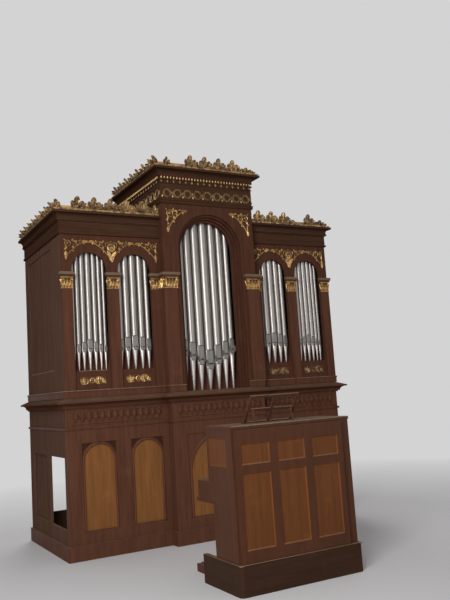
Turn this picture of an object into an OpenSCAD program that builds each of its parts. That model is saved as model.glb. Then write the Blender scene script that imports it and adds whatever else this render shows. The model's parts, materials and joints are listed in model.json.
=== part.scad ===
/* [Case body] */
// Width of the case over its side walls
case_w = 3500; // [3200:10:4000]
// Depth of the case from the side fronts to the back
case_d = 1550; // [1400:10:1800]
// Width of the middle section
centre_w = 1200; // [1100:10:1300]
// How far the middle section stands forward
centre_out = 120; // [100:5:160]
// Depth of the raised middle section behind the side fronts
tower_d = 1250; // [1100:10:1350]
// Thickness of the case boards
board = 28; // [22:1:36]

/* [Levels] */
// Top of the lower walls, where the deck lies
deck_z = 1600; // [1500:10:1700]
// Thickness of the deck between the storeys
deck_t = 30; // [24:1:40]
// Top of the side sections
side_top = 3640; // [3560:10:3760]
// Height of the middle section above the side sections
centre_rise = 555; // [500:5:650]
// Thickness of the roof boards
roof_t = 30; // [20:1:40]

/* [Lower storey] */
// Height of the skirting
skirting_h = 150; // [100:5:200]
// How far the skirting stands out
skirting_out = 22; // [15:1:30]
// Distance of the outer lower panels from the middle
outer_panel_x = 1400; // [1385:1:1415]
// Distance of the inner lower panels from the middle
inner_panel_x = 857; // [845:1:870]
// Width of the sunk frames of the side panels
sunk_w = 380; // [350:1:400]
// Width of the round-headed side panels
arch_panel_w = 336; // [300:1:345]
// Width of the sunk frame of the middle panel
centre_sunk_w = 860; // [820:1:920]
// Width of the round-headed middle panel
centre_arch_panel_w = 800; // [760:1:815]
// Bottom of the sunk frames
sunk_z = 260; // [220:5:320]
// Distance of the sunk frames below the moulding
sunk_drop = 140; // [100:5:170]
// Depth of the sunk frames
sunk_depth = 12; // [7:1:16]
// Margin between a sunk frame and its arched panel
arch_margin = 20; // [12:1:30]
// Thickness of the ochre panels
panel_t = 14; // [10:1:20]
// Distance of the moulding under the carved frieze below the deck
lower_rail_drop = 290; // [270:1:310]
// Height of that moulding
lower_rail_h = 26; // [18:1:36]
// How far that moulding stands out
lower_rail_out = 18; // [10:1:26]
// Height of the carved frieze strips
carving_h = 130; // [110:1:150]
// Thickness of the carved frieze strips
carving_t = 14; // [8:1:20]
// Plain margin at each end of a carved strip
carving_end = 60; // [40:5:90]

/* [Lower sides and back] */
// Front edge of the side bays behind the side fronts
side_bay_y = 90; // [70:5:130]
// Width of the front bay of a lower side
side_bay_w = 600; // [500:10:650]
// Width of the post between the side bays
side_post_w = 110; // [80:5:160]
// Bottom of the side bays
side_bay_z = 300; // [250:10:360]
// Distance of the side bays below the moulding
side_bay_drop = 280; // [210:10:310]
// Lap of the bay panels over the edges of their bays
bay_lap = 15; // [8:1:25]
// Width of the rails and posts of the back
back_post_w = 120; // [90:5:160]

/* [Middle cornice] */
// Height of the middle cornice below its drip edge
mid_under = 80; // [70:1:95]
// How far the middle cornice stands out
mid_out = 103; // [90:1:120]
// Height of its drip edge
mid_edge = 17; // [12:1:24]
// Rise of its sloping top towards the wall
mid_rise = 40; // [30:1:50]
// Radius of its hollow moulding
mid_cove_r = 50; // [40:1:56]

/* [Upper storey] */
// Height of the base board of the upper storey above the deck
base_h = 86; // [70:1:110]
// How far that base board stands out
base_out = 20; // [12:1:26]
// Height of the toe boards of the side pipes above the deck
toe_rise = 287; // [250:1:330]
// Thickness of the toe boards
toe_t = 30; // [22:1:40]
// Depth of the toe boards
toe_d = 190; // [170:5:240]
// Width of the front stile of an upper side wall
side_stile_front = 370; // [330:5:400]
// Width of its back stile
side_stile_back = 185; // [150:5:220]
// Height of its sunk panel's bottom above the toe boards
upper_sunk_rise = 33; // [23:1:80]
// Distance of its sunk panel below the side entablature
upper_sunk_drop = 88; // [50:1:180]
// Depth of its sunk panel
side_sunk = 10; // [6:1:14]
// Width of the outer pilasters
outer_pilaster_w = 120; // [100:1:150]
// Width of the middle pilasters of the side sections
mid_pilaster_w = 130; // [110:1:150]
// Width of the inner pilasters of the side sections
inner_pilaster_w = 125; // [110:1:150]
// Width of the outer pipe openings
outer_open_w = 390; // [370:1:400]
// Distance from the spring of the side arches up to the side entablature
side_spring_drop = 386; // [370:1:400]
// Width of the middle pipe opening
centre_open_w = 820; // [780:2:850]
// Distance from the spring of the middle arch up to the middle entablature
centre_spring_drop = 510; // [480:1:540]
// Depth of each of the three steps inside the middle arch
step_d = 36; // [28:1:37]
// Width of each of those steps
step_w = 24; // [20:1:30]
// Lap of those steps behind the front board
step_lap = 40; // [30:1:50]

/* [Pilasters] */
// How far the pilasters stand out
pilaster_t = 24; // [16:1:32]
// Margin of the pilasters inside the pilaster widths
pilaster_in = 4; // [2:1:6]
// Gap between a middle pilaster and its arch
centre_pilaster_gap = 42; // [20:1:50]
// Gap between the return of a middle pilaster and the abacus next to it
return_gap = 5; // [3:1:10]
// Distance of the abacus slabs below the spring of the side arches
abacus_drop = 27; // [10:1:40]
// Height of the gilded capitals
capital_h = 128; // [120:1:140]
// How far the capitals stand out beyond the pilasters
capital_out = 14; // [8:1:18]
// How much wider a capital is on each side than its pilaster
capital_side = 6; // [3:1:9]
// Height of the abacus slabs
abacus_h = 52; // [44:1:56]
// How far an abacus stands out beyond its pilaster
abacus_out = 26; // [20:1:34]
// How much wider an abacus is on each side than its pilaster
abacus_side = 22; // [16:1:26]
// Height of the lower step of an abacus
abacus_step_h = 18; // [12:1:24]
// Setback of that step under the top slab
abacus_step_in = 10; // [6:1:12]

/* [Side entablature] */
// Height of the side entablature
side_ent_h = 252; // [240:1:270]
// Height of its lowest moulding
side_arch_h = 22; // [16:1:30]
// Height of its plain band
side_band_h = 120; // [100:1:130]
// How far the side cornice stands out
side_out = 79; // [70:1:95]
// Height of the edge of both upper cornices
crown_edge = 26; // [20:1:34]

/* [Middle entablature] */
// Height of the middle entablature
centre_ent_h = 415; // [395:1:435]
// Height of its lowest moulding
centre_arch_h = 42; // [34:1:50]
// How far the middle cornice stands out at the top
centre_crown_out = 96; // [85:1:110]
// Radius of the hollow under the top edge
centre_cove_r = 62; // [50:1:66]
// How far the plain frieze behind the rings stands out
frieze_out = 6; // [3:1:8]
// Outer radius of the rings of the ring frieze
ring_r = 54; // [48:1:58]
// Inner radius of the rings
ring_hole_r = 40; // [34:1:44]
// Distance from ring to ring
ring_pitch = 130; // [122:1:140]
// Thickness of the rings
ring_t = 12; // [8:1:16]
// Height of the ring centres above the bottom of that entablature
ring_rise = 122; // [115:1:130]
// Height of the gilded bead and leaf strip
bead_h = 92; // [80:1:100]
// Thickness of that strip
bead_t = 22; // [16:1:28]

/* [Gilded ornament] */
// Thickness of the spandrel ornament
spandrel_t = 10; // [6:1:14]
// Height of the band over the side arches
spandrel_h = 92; // [80:1:100]
// Gap between the spandrel ornament and the arch
spandrel_gap = 80; // [60:1:90]
// Distance of the side ornament below the entablature
spandrel_drop = 62; // [50:1:70]
// Distance of the side ornament from the middle section
spandrel_in = 34; // [24:1:44]
// Distance of the side ornament from the corner of the case
spandrel_end = 50; // [40:1:60]
// Length of its pendants below the band
pendant_l = 100; // [80:1:120]
// Gap between a corner ornament and the middle arch
corner_gap = 150; // [135:1:165]
// Side of the square that holds a middle corner ornament
corner_size = 232; // [210:1:245]
// Distance of a corner ornament from the edge of the middle front
corner_in = 60; // [54:1:70]
// Distance of a corner ornament below the entablature
corner_drop = 68; // [60:1:76]
// Margin of the relief panels inside the width of their openings
relief_margin = 51; // [45:1:70]
// Height of the relief panels
relief_h = 92; // [80:1:100]
// Thickness of the relief panels
relief_t = 12; // [8:1:16]
// Distance of the relief panels below the toe boards
relief_drop = 59; // [35:1:64]
// Height of the fillet that carries the cresting
crest_fillet_h = 22; // [16:1:28]
// Thickness of the cresting
crest_t = 16; // [10:1:20]
// Height of a cresting leaf above its fillet
crest_h = 135; // [110:1:150]
// Width of a cresting leaf
crest_leaf_w = 118; // [90:1:130]
// Distance from leaf to leaf
crest_pitch = 188; // [176:1:200]
// Distance of the outermost leaf of the left section from its corner
crest_end = 67; // [60:1:90]
// The same distance for the right section, where the row starts further in
crest_end_right = 147; // [130:1:155]
// How far the row on the middle front stands left of its middle
crest_shift = 50; // [30:1:58]
// Distance of the cresting behind the cornice edge
crest_inset = 14; // [8:1:20]
// Gap between the side cresting and the middle section
crest_gap = 4; // [2:1:10]

/* [Side pipes] */
// Wall of the pipes
pipe_wall = 2; // [1.5:0.5:3]
// Distance of the pipe axes behind the side fronts
pipe_y = 80; // [74:1:94]
// Number of pipes in an outer opening
outer_count = 7; // [5:2:7]
// Diameter of the middle pipe of an outer opening
outer_pipe_d = 65; // [60:1:68]
// How much narrower each next pipe of the outer openings is
outer_pipe_taper = 7; // [4:1:9]
// Number of pipes in an inner opening
inner_count = 5; // [3:2:5]
// Diameter of the middle pipe of an inner opening
inner_pipe_d = 85; // [78:1:88]
// How much narrower each next pipe of the inner openings is
inner_pipe_taper = 9; // [5:1:12]
// Distance of the side pipes' tops below the side entablature
side_pipe_drop = 58; // [28:10:88]
// Gap between the pipes in the outer openings
outer_pipe_gap = 4; // [3:1:7]
// Gap between the pipes in the inner openings
inner_pipe_gap = 5; // [3:1:9]
// Height of the middle mouth above the toe board in the outer openings
outer_foot_h = 237; // [225:1:260]
// Fall of those mouths from pipe to pipe, counted from the middle
outer_foot_fall = 3; // [2:1:12]
// Height of the middle mouth above the toe board in the inner openings
inner_foot_h = 242; // [230:1:270]
// Fall of those mouths from pipe to pipe, counted from the middle
inner_foot_fall = 6; // [3:1:12]

/* [Middle pipes] */
// Number of pipes in the middle opening
centre_count = 7; // [5:2:7]
// Diameter of the middle pipe of the middle opening
centre_pipe_d = 114; // [106:1:116]
// How much narrower each next pipe there is
centre_pipe_taper = 11; // [6:1:14]
// Distance from that middle pipe to the next
centre_pitch = 113; // [112:1:118]
// Distance of the middle pipes' tops below the middle entablature
centre_pipe_drop = 60; // [20:10:100]
// Height of the middle pipe's mouth above the deck
centre_foot_h = 300; // [285:1:330]
// Rise of the mouths from pipe to pipe, counted from the middle
centre_foot_rise = 55; // [45:1:65]
// Thickness of the boards behind the pipe feet
foot_board_t = 16; // [10:1:20]
// Height of the boards behind the pipe feet
foot_board_h = 420; // [380:10:460]

/* [Console] */
// Depth of the console cabinet
console_d = 465; // [430:5:520]
// Height of the console cabinet above its back frame
console_rise = 37; // [30:1:60]
// Distance of the console's middle from the case's middle, to the left
console_left = 450; // [300:10:600]
// Distance of the console's back in front of the side fronts
console_front = 2237; // [2000:1:2500]
// Height of the console plinth
console_plinth_h = 240; // [225:1:245]
// How far the plinth stands out
console_plinth_out = 18; // [12:1:26]
// Corner radius of the plinth
console_corner_r = 40; // [30:1:50]
// Thickness of the console boards
console_board = 24; // [18:1:28]
// Thickness of the console top
console_top_t = 26; // [20:1:32]
// Thickness of the panelled back frame
back_frame_t = 26; // [20:1:32]
// Distance of the back frame from the left side
back_frame_left = 13; // [8:1:18]
// Distance of the back frame from the right side
back_frame_right = 93; // [80:1:110]
// Width of the outer stiles of the back frame
stile_w = 55; // [45:1:65]
// Width of the inner stiles
mullion_w = 76; // [66:1:86]
// Width of one back panel
back_panel_w = 274; // [260:1:284]
// Height of the back frame's bottom rail
bottom_rail_h = 100; // [90:1:110]
// Height of the lower back panels
low_panel_h = 600; // [570:1:620]
// Height of the middle rail
mid_rail_h = 68; // [56:1:78]
// Height of the upper back panels
high_panel_h = 168; // [155:1:180]
// Height of the top rail
top_rail_h = 109; // [95:1:120]
// Depth of the back panels behind their frame
panel_set = 9; // [5:1:14]
// How far the console top laps over the cabinet
top_lip = 6; // [2:1:12]
// Distance of the sunk side panels below the console's top
side_panel_drop = 107; // [90:1:120]
// Height of those panels
side_panel_h = 225; // [200:5:240]
// Depth of those panels
console_sunk = 7; // [4:1:10]
// Distance of those panels from the back frame
side_panel_back = 106; // [90:1:120]
// Distance of those panels from the front edge
side_panel_front = 35; // [28:1:45]

/* [Keydesk] */
// Height of the key table
key_table_z = 700; // [680:5:740]
// Thickness of the key table
key_table_t = 32; // [24:1:40]
// How far the key table reaches past the cabinet
key_table_out = 300; // [260:5:340]
// Width of one manual
manual_w = 752; // [730:1:780]
// Length of the key tops
key_l = 140; // [130:1:150]
// Height of a manual's key block
key_h = 34; // [28:1:40]
// Step from the lower to the upper manual, in height
manual_rise = 66; // [60:1:75]
// Step from the lower to the upper manual, in depth
manual_back = 100; // [90:1:110]
// Height of the key cheeks above the key table
cheek_h = 150; // [130:5:170]
// Depth of the recess over the manuals
recess_d = 60; // [50:5:80]
// Distance of the lower manual behind the front edge of the key table
manual_set = 60; // [50:1:75]
// Gap between the lower keys and the block behind them
key_gap = 2; // [1:0.5:4]
// Distance of the cheeks behind the front edge of the key table
cheek_set = 40; // [30:1:50]
// Number of sharps in a manual
sharp_count = 22; // [20:1:24]
// Width of a sharp
sharp_w = 10; // [8:1:12]
// Length of a sharp
sharp_l = 39; // [36:1:95]
// Height of a sharp above the naturals
sharp_h = 11; // [9:1:13]
// Radius of a stop knob
knob_r = 14; // [11:1:16]
// Length of a stop knob
knob_l = 14; // [10:1:18]
// Length of its stem
knob_stem = 24; // [18:1:30]
// Number of stop knobs in a column
knob_rows = 4; // [3:1:5]
// Height of the lowest knobs above the key table
knob_low = 215; // [200:5:230]
// Distance from knob to knob in a column
knob_pitch = 70; // [60:1:74]
// Distance of the outer column from the cabinet side
knob_in = 50; // [40:1:60]
// Distance between the two columns
knob_column = 60; // [50:1:70]

/* [Pedalboard] */
// Width of the pedalboard
pedal_w = 960; // [900:10:1000]
// Length of the pedalboard
pedal_l = 620; // [580:10:680]
// Number of natural pedals
pedal_naturals = 16; // [15:1:17]
// Width of a natural pedal
pedal_key_w = 24; // [20:1:28]
// Height of a natural pedal
pedal_key_h = 26; // [20:1:30]
// Width of a sharp pedal
pedal_sharp_w = 18; // [14:1:22]
// Length of a sharp pedal
pedal_sharp_l = 260; // [230:5:290]
// Height of a sharp pedal
pedal_sharp_h = 62; // [55:1:70]
// Gap at both ends of the pedals
pedal_gap = 4; // [2:1:8]
// Height of the pedal frame rails
pedal_rail_h = 70; // [60:1:80]
// Width of the side rails
pedal_rail_w = 30; // [24:1:34]
// Width of the cross rails under the pedals
cross_rail_w = 50; // [40:1:60]
// Height of the cross rails below the side rails
pedal_drop = 20; // [15:1:25]
// Distance of the outer pedals from the ends of the pedalboard
pedal_end = 50; // [48:1:60]

/* [Music desk] */
// Width of the music desk
desk_w = 490; // [440:5:560]
// Height of the music desk measured straight up
desk_h = 236; // [220:1:260]
// How far the desk leans back
desk_lean = 165; // [140:1:185]
// Distance of the desk's middle from the console's middle, to the left
desk_left = 85; // [40:1:110]
// Distance of the desk's foot from the console's back
desk_y = 287; // [270:1:320]
// Thickness of the desk bars
desk_t = 14; // [10:1:18]
// Width of the desk bars
desk_bar_w = 22; // [16:1:28]
// Depth of the ledge that the music stands on
desk_ledge = 34; // [24:1:44]
// Thickness of that ledge
ledge_t = 12; // [8:1:16]
// Setback of its ends inside the desk's ends
ledge_in = 5; // [2:1:10]
// Distance of the struts' feet behind the desk's foot
strut_foot = 130; // [115:5:150]
// Distance of the struts from the desk's ends
strut_in = 52; // [45:1:90]

/* [Hidden] */
$fn = 48;
eps = 1;
half_w = case_w / 2;
half_c = centre_w / 2;
side_w = half_w - half_c;
inner_open_w = side_w - outer_pilaster_w - outer_open_w - mid_pilaster_w - inner_pilaster_w;
outer_open_x = half_w - outer_pilaster_w - outer_open_w / 2;
inner_open_x = half_c + inner_pilaster_w + inner_open_w / 2;
mid_pilaster_x = outer_open_x - outer_open_w / 2 - mid_pilaster_w / 2;
centre_pilaster_w = half_c - centre_open_w / 2;
upper_z = deck_z + deck_t;
mid_top = deck_z + mid_rise;
lower_rail_z = deck_z - lower_rail_drop;
sunk_top = lower_rail_z - sunk_drop;
side_bay_top = lower_rail_z - side_bay_drop;
toe_z = upper_z + toe_rise;
relief_z = toe_z - relief_drop - relief_h;
side_ent_z = side_top - side_ent_h;
side_spring = side_ent_z - side_spring_drop;
capital_z = side_spring - abacus_drop - abacus_h - capital_h;
centre_top = side_top + centre_rise;
centre_ent_z = centre_top - centre_ent_h;
centre_spring = centre_ent_z - centre_spring_drop;
ring_z = centre_ent_z + ring_rise;
side_wall_top = side_top - roof_t;
centre_wall_top = centre_top - roof_t;
right_gaps = [0, 2];
centre_gaps = [1, 6];
case_y = (console_front + console_plinth_out - case_d) / 2;
reach = case_w;
far = 3 * case_w;
sides = [-1, 1];
back_frame_w = 2 * stile_w + 2 * mullion_w + 3 * back_panel_w;
console_w = back_frame_left + back_frame_w + back_frame_right;
back_frame_h = bottom_rail_h + low_panel_h + mid_rail_h + high_panel_h + top_rail_h;
console_h = console_plinth_h + back_frame_h + console_rise;
wood = [0.33, 0.19, 0.14];
side_wood = [0.25, 0.18, 0.15];
ochre = [0.52, 0.33, 0.16];
gold = [0.78, 0.6, 0.26];
tin = [0.72, 0.73, 0.74];
orange_wood = [0.45, 0.26, 0.13];

// Places its children in the case's own frame: y = 0 at the side fronts
module in_case() { translate([0, case_y, 0]) children(); }

// Places its children in the console's own frame: y = 0 at its back
module in_console() { translate([-console_left, case_y - console_front, 0]) children(); }

// Repeats its children on the left and on the right
module both_sides() {
    children();
    mirror([1, 0, 0]) children();
}

// Box from its low corner and its high corner
module span(low, high) { translate(low) cube(high - low); }

// Outline of the case seen from above, grown by out, and open to the back
module case_plan(out, back) {
    translate([-half_w - out, -out]) square([case_w + 2 * out, back + out]);
    translate([-half_c - out, -centre_out - out]) square([centre_w + 2 * out, centre_out + out + eps]);
}

// Moulding round a block, from a profile drawn as [distance out, height]
module moulding_block(block_half, front, back, out) {
    intersection() {
        translate([-far / 2, front, 0]) rotate([90, 0, 90]) linear_extrude(far)
            mirror([1, 0]) children();
        translate([0, back, 0]) rotate([90, 0, 0]) linear_extrude(back - front + out)
            for (side = [0, 1]) mirror([side, 0]) intersection() {
                translate([block_half, 0]) children();
                translate([-eps, 0]) square(far);
            }
    }
}

// The same moulding along the sides, the side fronts and round the middle section
module case_moulding(out, z_low, z_high) {
    difference() {
        union() {
            moulding_block(half_w, 0, case_d, out) children();
            moulding_block(half_c, -centre_out, case_d, out) children();
        }
        translate([0, 0, z_low - eps]) linear_extrude(z_high - z_low + 2 * eps)
            case_plan(0, case_d + eps);
    }
}

// Round-headed outline with its spring at height spring above its bottom
module arch_shape(width, spring) {
    translate([-width / 2, 0]) square([width, spring]);
    translate([0, spring]) circle(d = width, $fn = 96);
}

// Arched cutter through a front board
module arch_cut(x, y, bottom, width, spring) {
    translate([x, y, bottom]) rotate([90, 0, 0])
        linear_extrude(board + 2 * eps) arch_shape(width, spring - bottom);
}

// Lower storey

module case_skirting() {
    color(wood) in_case() linear_extrude(skirting_h) difference() {
        case_plan(skirting_out, case_d);
        case_plan(0, case_d + eps);
    }
}

// Sunk frame and arched hole of one lower panel
module lower_panel_cut(x, y, frame_w, arch_w) {
    span([x - frame_w / 2, y - eps, sunk_z], [x + frame_w / 2, y + sunk_depth, sunk_top]);
    arch_cut(x, y + board + eps, sunk_z + arch_margin, arch_w, sunk_top - arch_margin - arch_w / 2);
}

module lower_side_front() {
    difference() {
        span([half_c, 0, 0], [half_w, board, deck_z]);
        for (x = [inner_panel_x, outer_panel_x]) lower_panel_cut(x, 0, sunk_w, arch_panel_w);
    }
}

module lower_side_fronts() { color(wood) in_case() both_sides() lower_side_front(); }

module lower_centre_front() {
    color(wood) in_case() difference() {
        union() {
            span([-half_c, -centre_out, 0], [half_c, board - centre_out, deck_z]);
            both_sides() span([half_c - board, -centre_out, 0], [half_c, board, deck_z]);
        }
        lower_panel_cut(0, -centre_out, centre_sunk_w, centre_arch_panel_w);
    }
}

module lower_panels() {
    color(ochre) in_case() {
        both_sides() for (x = [inner_panel_x, outer_panel_x])
            span([x - sunk_w / 2, board, sunk_z], [x + sunk_w / 2, board + panel_t, sunk_top]);
        span([-centre_sunk_w / 2, board - centre_out, sunk_z],
             [centre_sunk_w / 2, board - centre_out + panel_t, sunk_top]);
    }
}

// Front and rear bay of a lower side, as [front edge, rear edge]
side_bays = [
    [side_bay_y, side_bay_y + side_bay_w],
    [side_bay_y + side_bay_w + side_post_w, case_d - board - side_post_w]
];

module lower_side() {
    difference() {
        span([half_w - board, board, 0], [half_w, case_d, deck_z]);
        for (bay = side_bays)
            span([half_w - board - eps, bay[0], side_bay_z], [half_w + eps, bay[1], side_bay_top]);
    }
}

module case_sides() {
    color(side_wood) in_case() both_sides() {
        lower_side();
        upper_side();
    }
}

// Panel behind a side bay, lapping over its edges
module side_panel(bay) {
    span([half_w - board - panel_t, bay[0] - bay_lap, side_bay_z - bay_lap],
         [half_w - board, bay[1] + bay_lap, side_bay_top + bay_lap]);
}

// Left, middle and right bay of the back, as [left edge, right edge]
back_inner = half_w - board;
back_bay_w = (2 * back_inner - 4 * back_post_w) / 3;
back_bays = [for (i = [0:2]) let (x = -back_inner + back_post_w + i * (back_bay_w + back_post_w))
    [x, x + back_bay_w]];

module lower_back() {
    difference() {
        span([-back_inner, case_d - board, 0], [back_inner, case_d, deck_z]);
        for (bay = back_bays)
            span([bay[0], case_d - board - eps, side_bay_z], [bay[1], case_d + eps, side_bay_top]);
    }
}

// Backs of the lower storey, the upper storey and the raised middle section
module case_backs() {
    color(side_wood) in_case() {
        lower_back();
        span([-back_inner, case_d - board, upper_z], [back_inner, case_d, side_wall_top]);
        span([board - half_c, tower_d - board, side_wall_top],
             [half_c - board, tower_d, centre_wall_top]);
    }
}

// Panels of the bays; the left side's front bay and the back's left bay are open
module bay_panels() {
    color(side_wood) in_case() {
        for (bay = side_bays) side_panel(bay);
        mirror([1, 0, 0]) side_panel(side_bays[1]);
        for (bay = [back_bays[1], back_bays[2]])
            span([bay[0] - bay_lap, case_d - board - panel_t, side_bay_z - bay_lap],
                 [bay[1] + bay_lap, case_d - board, side_bay_top + bay_lap]);
    }
}

module lower_moulding() {
    low = lower_rail_z;
    top = lower_rail_z + lower_rail_h;
    color(wood) in_case() case_moulding(lower_rail_out, low, top)
        union() {
            translate([-reach, low]) square([reach, top - low]);
            translate([0, low]) square([lower_rail_out - 6, lower_rail_h]);
            translate([0, low + 7]) square([lower_rail_out, lower_rail_h - 12]);
        }
}

module frieze_carving() {
    low = (lower_rail_z + lower_rail_h + deck_z - mid_under - carving_h) / 2;
    color(wood) in_case() {
        both_sides() span([half_c + carving_end, -carving_t, low],
                          [half_w - carving_end, 0, low + carving_h]);
        span([-half_c + carving_end, -centre_out - carving_t, low],
             [half_c - carving_end, -centre_out, low + carving_h]);
    }
}

// Middle cornice and deck

module mid_profile() {
    low = deck_z - mid_under;
    cove_x = mid_out - 18;
    difference() {
        polygon([[-reach, low], [16, low], [16, low + 14], [cove_x - mid_cove_r, low + 14],
                 [cove_x, low + 14], [cove_x, deck_z - mid_edge], [mid_out, deck_z - mid_edge],
                 [mid_out, deck_z], [0, mid_top], [-reach, mid_top]]);
        translate([cove_x, deck_z - mid_edge - mid_cove_r]) circle(mid_cove_r);
    }
}

module mid_cornice() {
    color(wood) in_case() case_moulding(mid_out, deck_z - mid_under, mid_top) mid_profile();
}

module case_deck() {
    color(wood) in_case() translate([0, 0, deck_z]) linear_extrude(deck_t) case_plan(0, case_d);
}

module upper_base() {
    top = upper_z + base_h;
    color(wood) in_case() difference() {
        case_moulding(base_out, mid_top, top) union() {
            translate([-reach, mid_top]) square([reach, top - mid_top]);
            translate([0, mid_top]) square([base_out - 6, top - mid_top]);
            translate([0, top - 16]) square([base_out, 12]);
        }
        span([-centre_open_w / 2, -far, 0], [centre_open_w / 2, 0, far]);
    }
}

// Upper storey

module upper_side_front() {
    difference() {
        span([half_c, 0, upper_z], [half_w, board, side_wall_top]);
        arch_cut(outer_open_x, board + eps, toe_z, outer_open_w, side_spring);
        arch_cut(inner_open_x, board + eps, toe_z, inner_open_w, side_spring);
    }
}

module upper_side_fronts() { color(wood) in_case() both_sides() upper_side_front(); }

module upper_centre_front() {
    color(wood) in_case() difference() {
        span([-half_c, -centre_out, upper_z], [half_c, board - centre_out, centre_wall_top]);
        arch_cut(0, board - centre_out + eps, upper_z - eps, centre_open_w, centre_spring);
    }
}

// Stepped rings behind the middle arch, each one narrower than the one before
module centre_arch_steps() {
    back = board - centre_out;
    color(wood) in_case() for (i = [0:2]) translate([0, back + (i + 1) * step_d, upper_z])
        rotate([90, 0, 0]) linear_extrude(step_d) difference() {
            arch_shape(centre_open_w + 2 * step_lap, centre_spring - upper_z);
            arch_shape(centre_open_w - 2 * (i + 1) * step_w, centre_spring - upper_z);
        }
}

// Upper side wall with its one tall sunk panel
module upper_side() {
    difference() {
        span([half_w - board, board, upper_z], [half_w, case_d, side_wall_top]);
        span([half_w - side_sunk, side_stile_front, toe_z + upper_sunk_rise],
             [half_w + eps, case_d - side_stile_back, side_ent_z - upper_sunk_drop]);
    }
}

module tower_sides() {
    back = board - centre_out;
    color(wood) in_case() both_sides() translate([half_c - board, 0, 0])
        rotate([90, 0, 90]) linear_extrude(board) polygon([
            [back, upper_z], [board, upper_z], [board, side_wall_top], [tower_d, side_wall_top],
            [tower_d, centre_wall_top], [back, centre_wall_top]]);
}

module side_roofs() {
    color(side_wood) in_case() both_sides()
        span([half_c, 0, side_wall_top], [half_w, case_d, side_top]);
}

// Roof of the raised middle section, and the low roof behind it
module middle_roofs() {
    color(side_wood) in_case() {
        span([-half_c, -centre_out, centre_wall_top], [half_c, tower_d, centre_top]);
        span([-half_c, tower_d, side_wall_top], [half_c, case_d, side_top]);
    }
}

// Entablatures

module side_profile() {
    low = side_ent_z;
    band = low + side_arch_h;
    ledge = band + side_band_h;
    cove_r = 42;
    cove_x = side_out - 12;
    difference() {
        polygon([[-reach, low], [14, low], [20, low + 6], [20, band], [8, band], [8, ledge],
                 [22, ledge], [22, ledge + 12], [cove_x, ledge + 12], [cove_x, side_top - crown_edge],
                 [side_out, side_top - crown_edge], [side_out, side_top], [-reach, side_top]]);
        translate([cove_x, side_top - crown_edge - cove_r]) circle(cove_r);
    }
}

module side_entablatures() {
    color(wood) in_case() difference() {
        moulding_block(half_w, 0, case_d, side_out) side_profile();
        span([-half_w, 0, 0], [half_w, far, far]);
        span([-half_c, -far, 0], [half_c, far, far]);
    }
}

module centre_profile() {
    low = centre_ent_z;
    edge = centre_top - crown_edge;
    cove_x = centre_crown_out - 14;
    difference() {
        polygon([[-reach, low], [10, low], [16, low + 8], [16, low + centre_arch_h - 12],
                 [22, low + centre_arch_h - 6], [22, low + centre_arch_h],
                 [frieze_out, low + centre_arch_h], [frieze_out, edge - centre_cove_r],
                 [cove_x - centre_cove_r, edge - centre_cove_r],
                 [cove_x, edge - centre_cove_r], [cove_x, edge], [centre_crown_out, edge],
                 [centre_crown_out, centre_top], [-reach, centre_top]]);
        translate([cove_x, edge - centre_cove_r]) circle(centre_cove_r);
    }
}

module centre_entablature() {
    color(wood) in_case() difference() {
        moulding_block(half_c, -centre_out, tower_d, centre_crown_out) centre_profile();
        span([-half_c, -centre_out, 0], [half_c, far, far]);
    }
}

// Pilasters, each as [middle, width, front plane]
pilaster_list = [
    [half_w - outer_pilaster_w / 2, outer_pilaster_w, 0],
    [mid_pilaster_x, mid_pilaster_w, 0],
    [half_c + inner_pilaster_w / 2, inner_pilaster_w, 0],
    [half_c - (centre_pilaster_w - centre_pilaster_gap) / 2,
     centre_pilaster_w - centre_pilaster_gap, -centre_out]
];
return_y = -pilaster_t - abacus_out - return_gap;

// Box on the front of a pilaster's wall; those of the middle section turn its corner
module on_pilaster(p, grow, out, low, high) {
    start = p[0] - p[1] / 2 - grow;
    if (p[2] == 0)
        span([max(start, half_c), -out, low], [p[0] + p[1] / 2 + grow, 0, high]);
    else {
        span([start, p[2] - out, low], [half_c + out, p[2], high]);
        span([half_c, p[2], low], [half_c + out, return_y, high]);
    }
}

module pilasters() {
    color(wood) in_case() both_sides() for (p = pilaster_list) {
        on_pilaster(p, -pilaster_in, pilaster_t, upper_z + base_h, capital_z);
    }
}

module capitals() {
    color(gold) in_case() both_sides() for (p = pilaster_list)
        on_pilaster(p, capital_side, pilaster_t + capital_out, capital_z, capital_z + capital_h);
}

module abacus_slabs() {
    low = capital_z + capital_h;
    color(wood) in_case() both_sides() for (p = pilaster_list) {
        on_pilaster(p, abacus_side - abacus_step_in, pilaster_t + abacus_out - abacus_step_in, low,
                    low + abacus_step_h);
        on_pilaster(p, abacus_side, pilaster_t + abacus_out, low + abacus_step_h, low + abacus_h);
    }
}

// Gilded ornament

module ring() {
    rotate([90, 0, 0]) linear_extrude(ring_t) difference() {
        circle(ring_r);
        circle(ring_hole_r);
    }
}

module ring_frieze() {
    front_n = floor((centre_w - ring_pitch / 2) / ring_pitch / 2);
    side_l = tower_d + centre_out;
    side_n = floor(side_l / ring_pitch);
    color(gold) in_case() {
        for (i = [-front_n:front_n])
            translate([i * ring_pitch, -centre_out - frieze_out, ring_z]) ring();
        for (side = sides, i = [0:side_n - 1])
            translate([side * (half_c + frieze_out), ring_pitch * (i + 0.5) - centre_out, ring_z])
                rotate([0, 0, side * 90]) ring();
    }
}

module bead_strip() {
    low = centre_top - crown_edge - centre_cove_r - bead_h;
    out = frieze_out + bead_t;
    color(gold) in_case() translate([0, 0, low]) linear_extrude(bead_h) difference() {
        translate([-half_c - out, -centre_out - out])
            square([centre_w + 2 * out, tower_d + centre_out + out]);
        translate([-half_c - frieze_out, -centre_out - frieze_out])
            square([centre_w + 2 * frieze_out, far]);
    }
}

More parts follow.
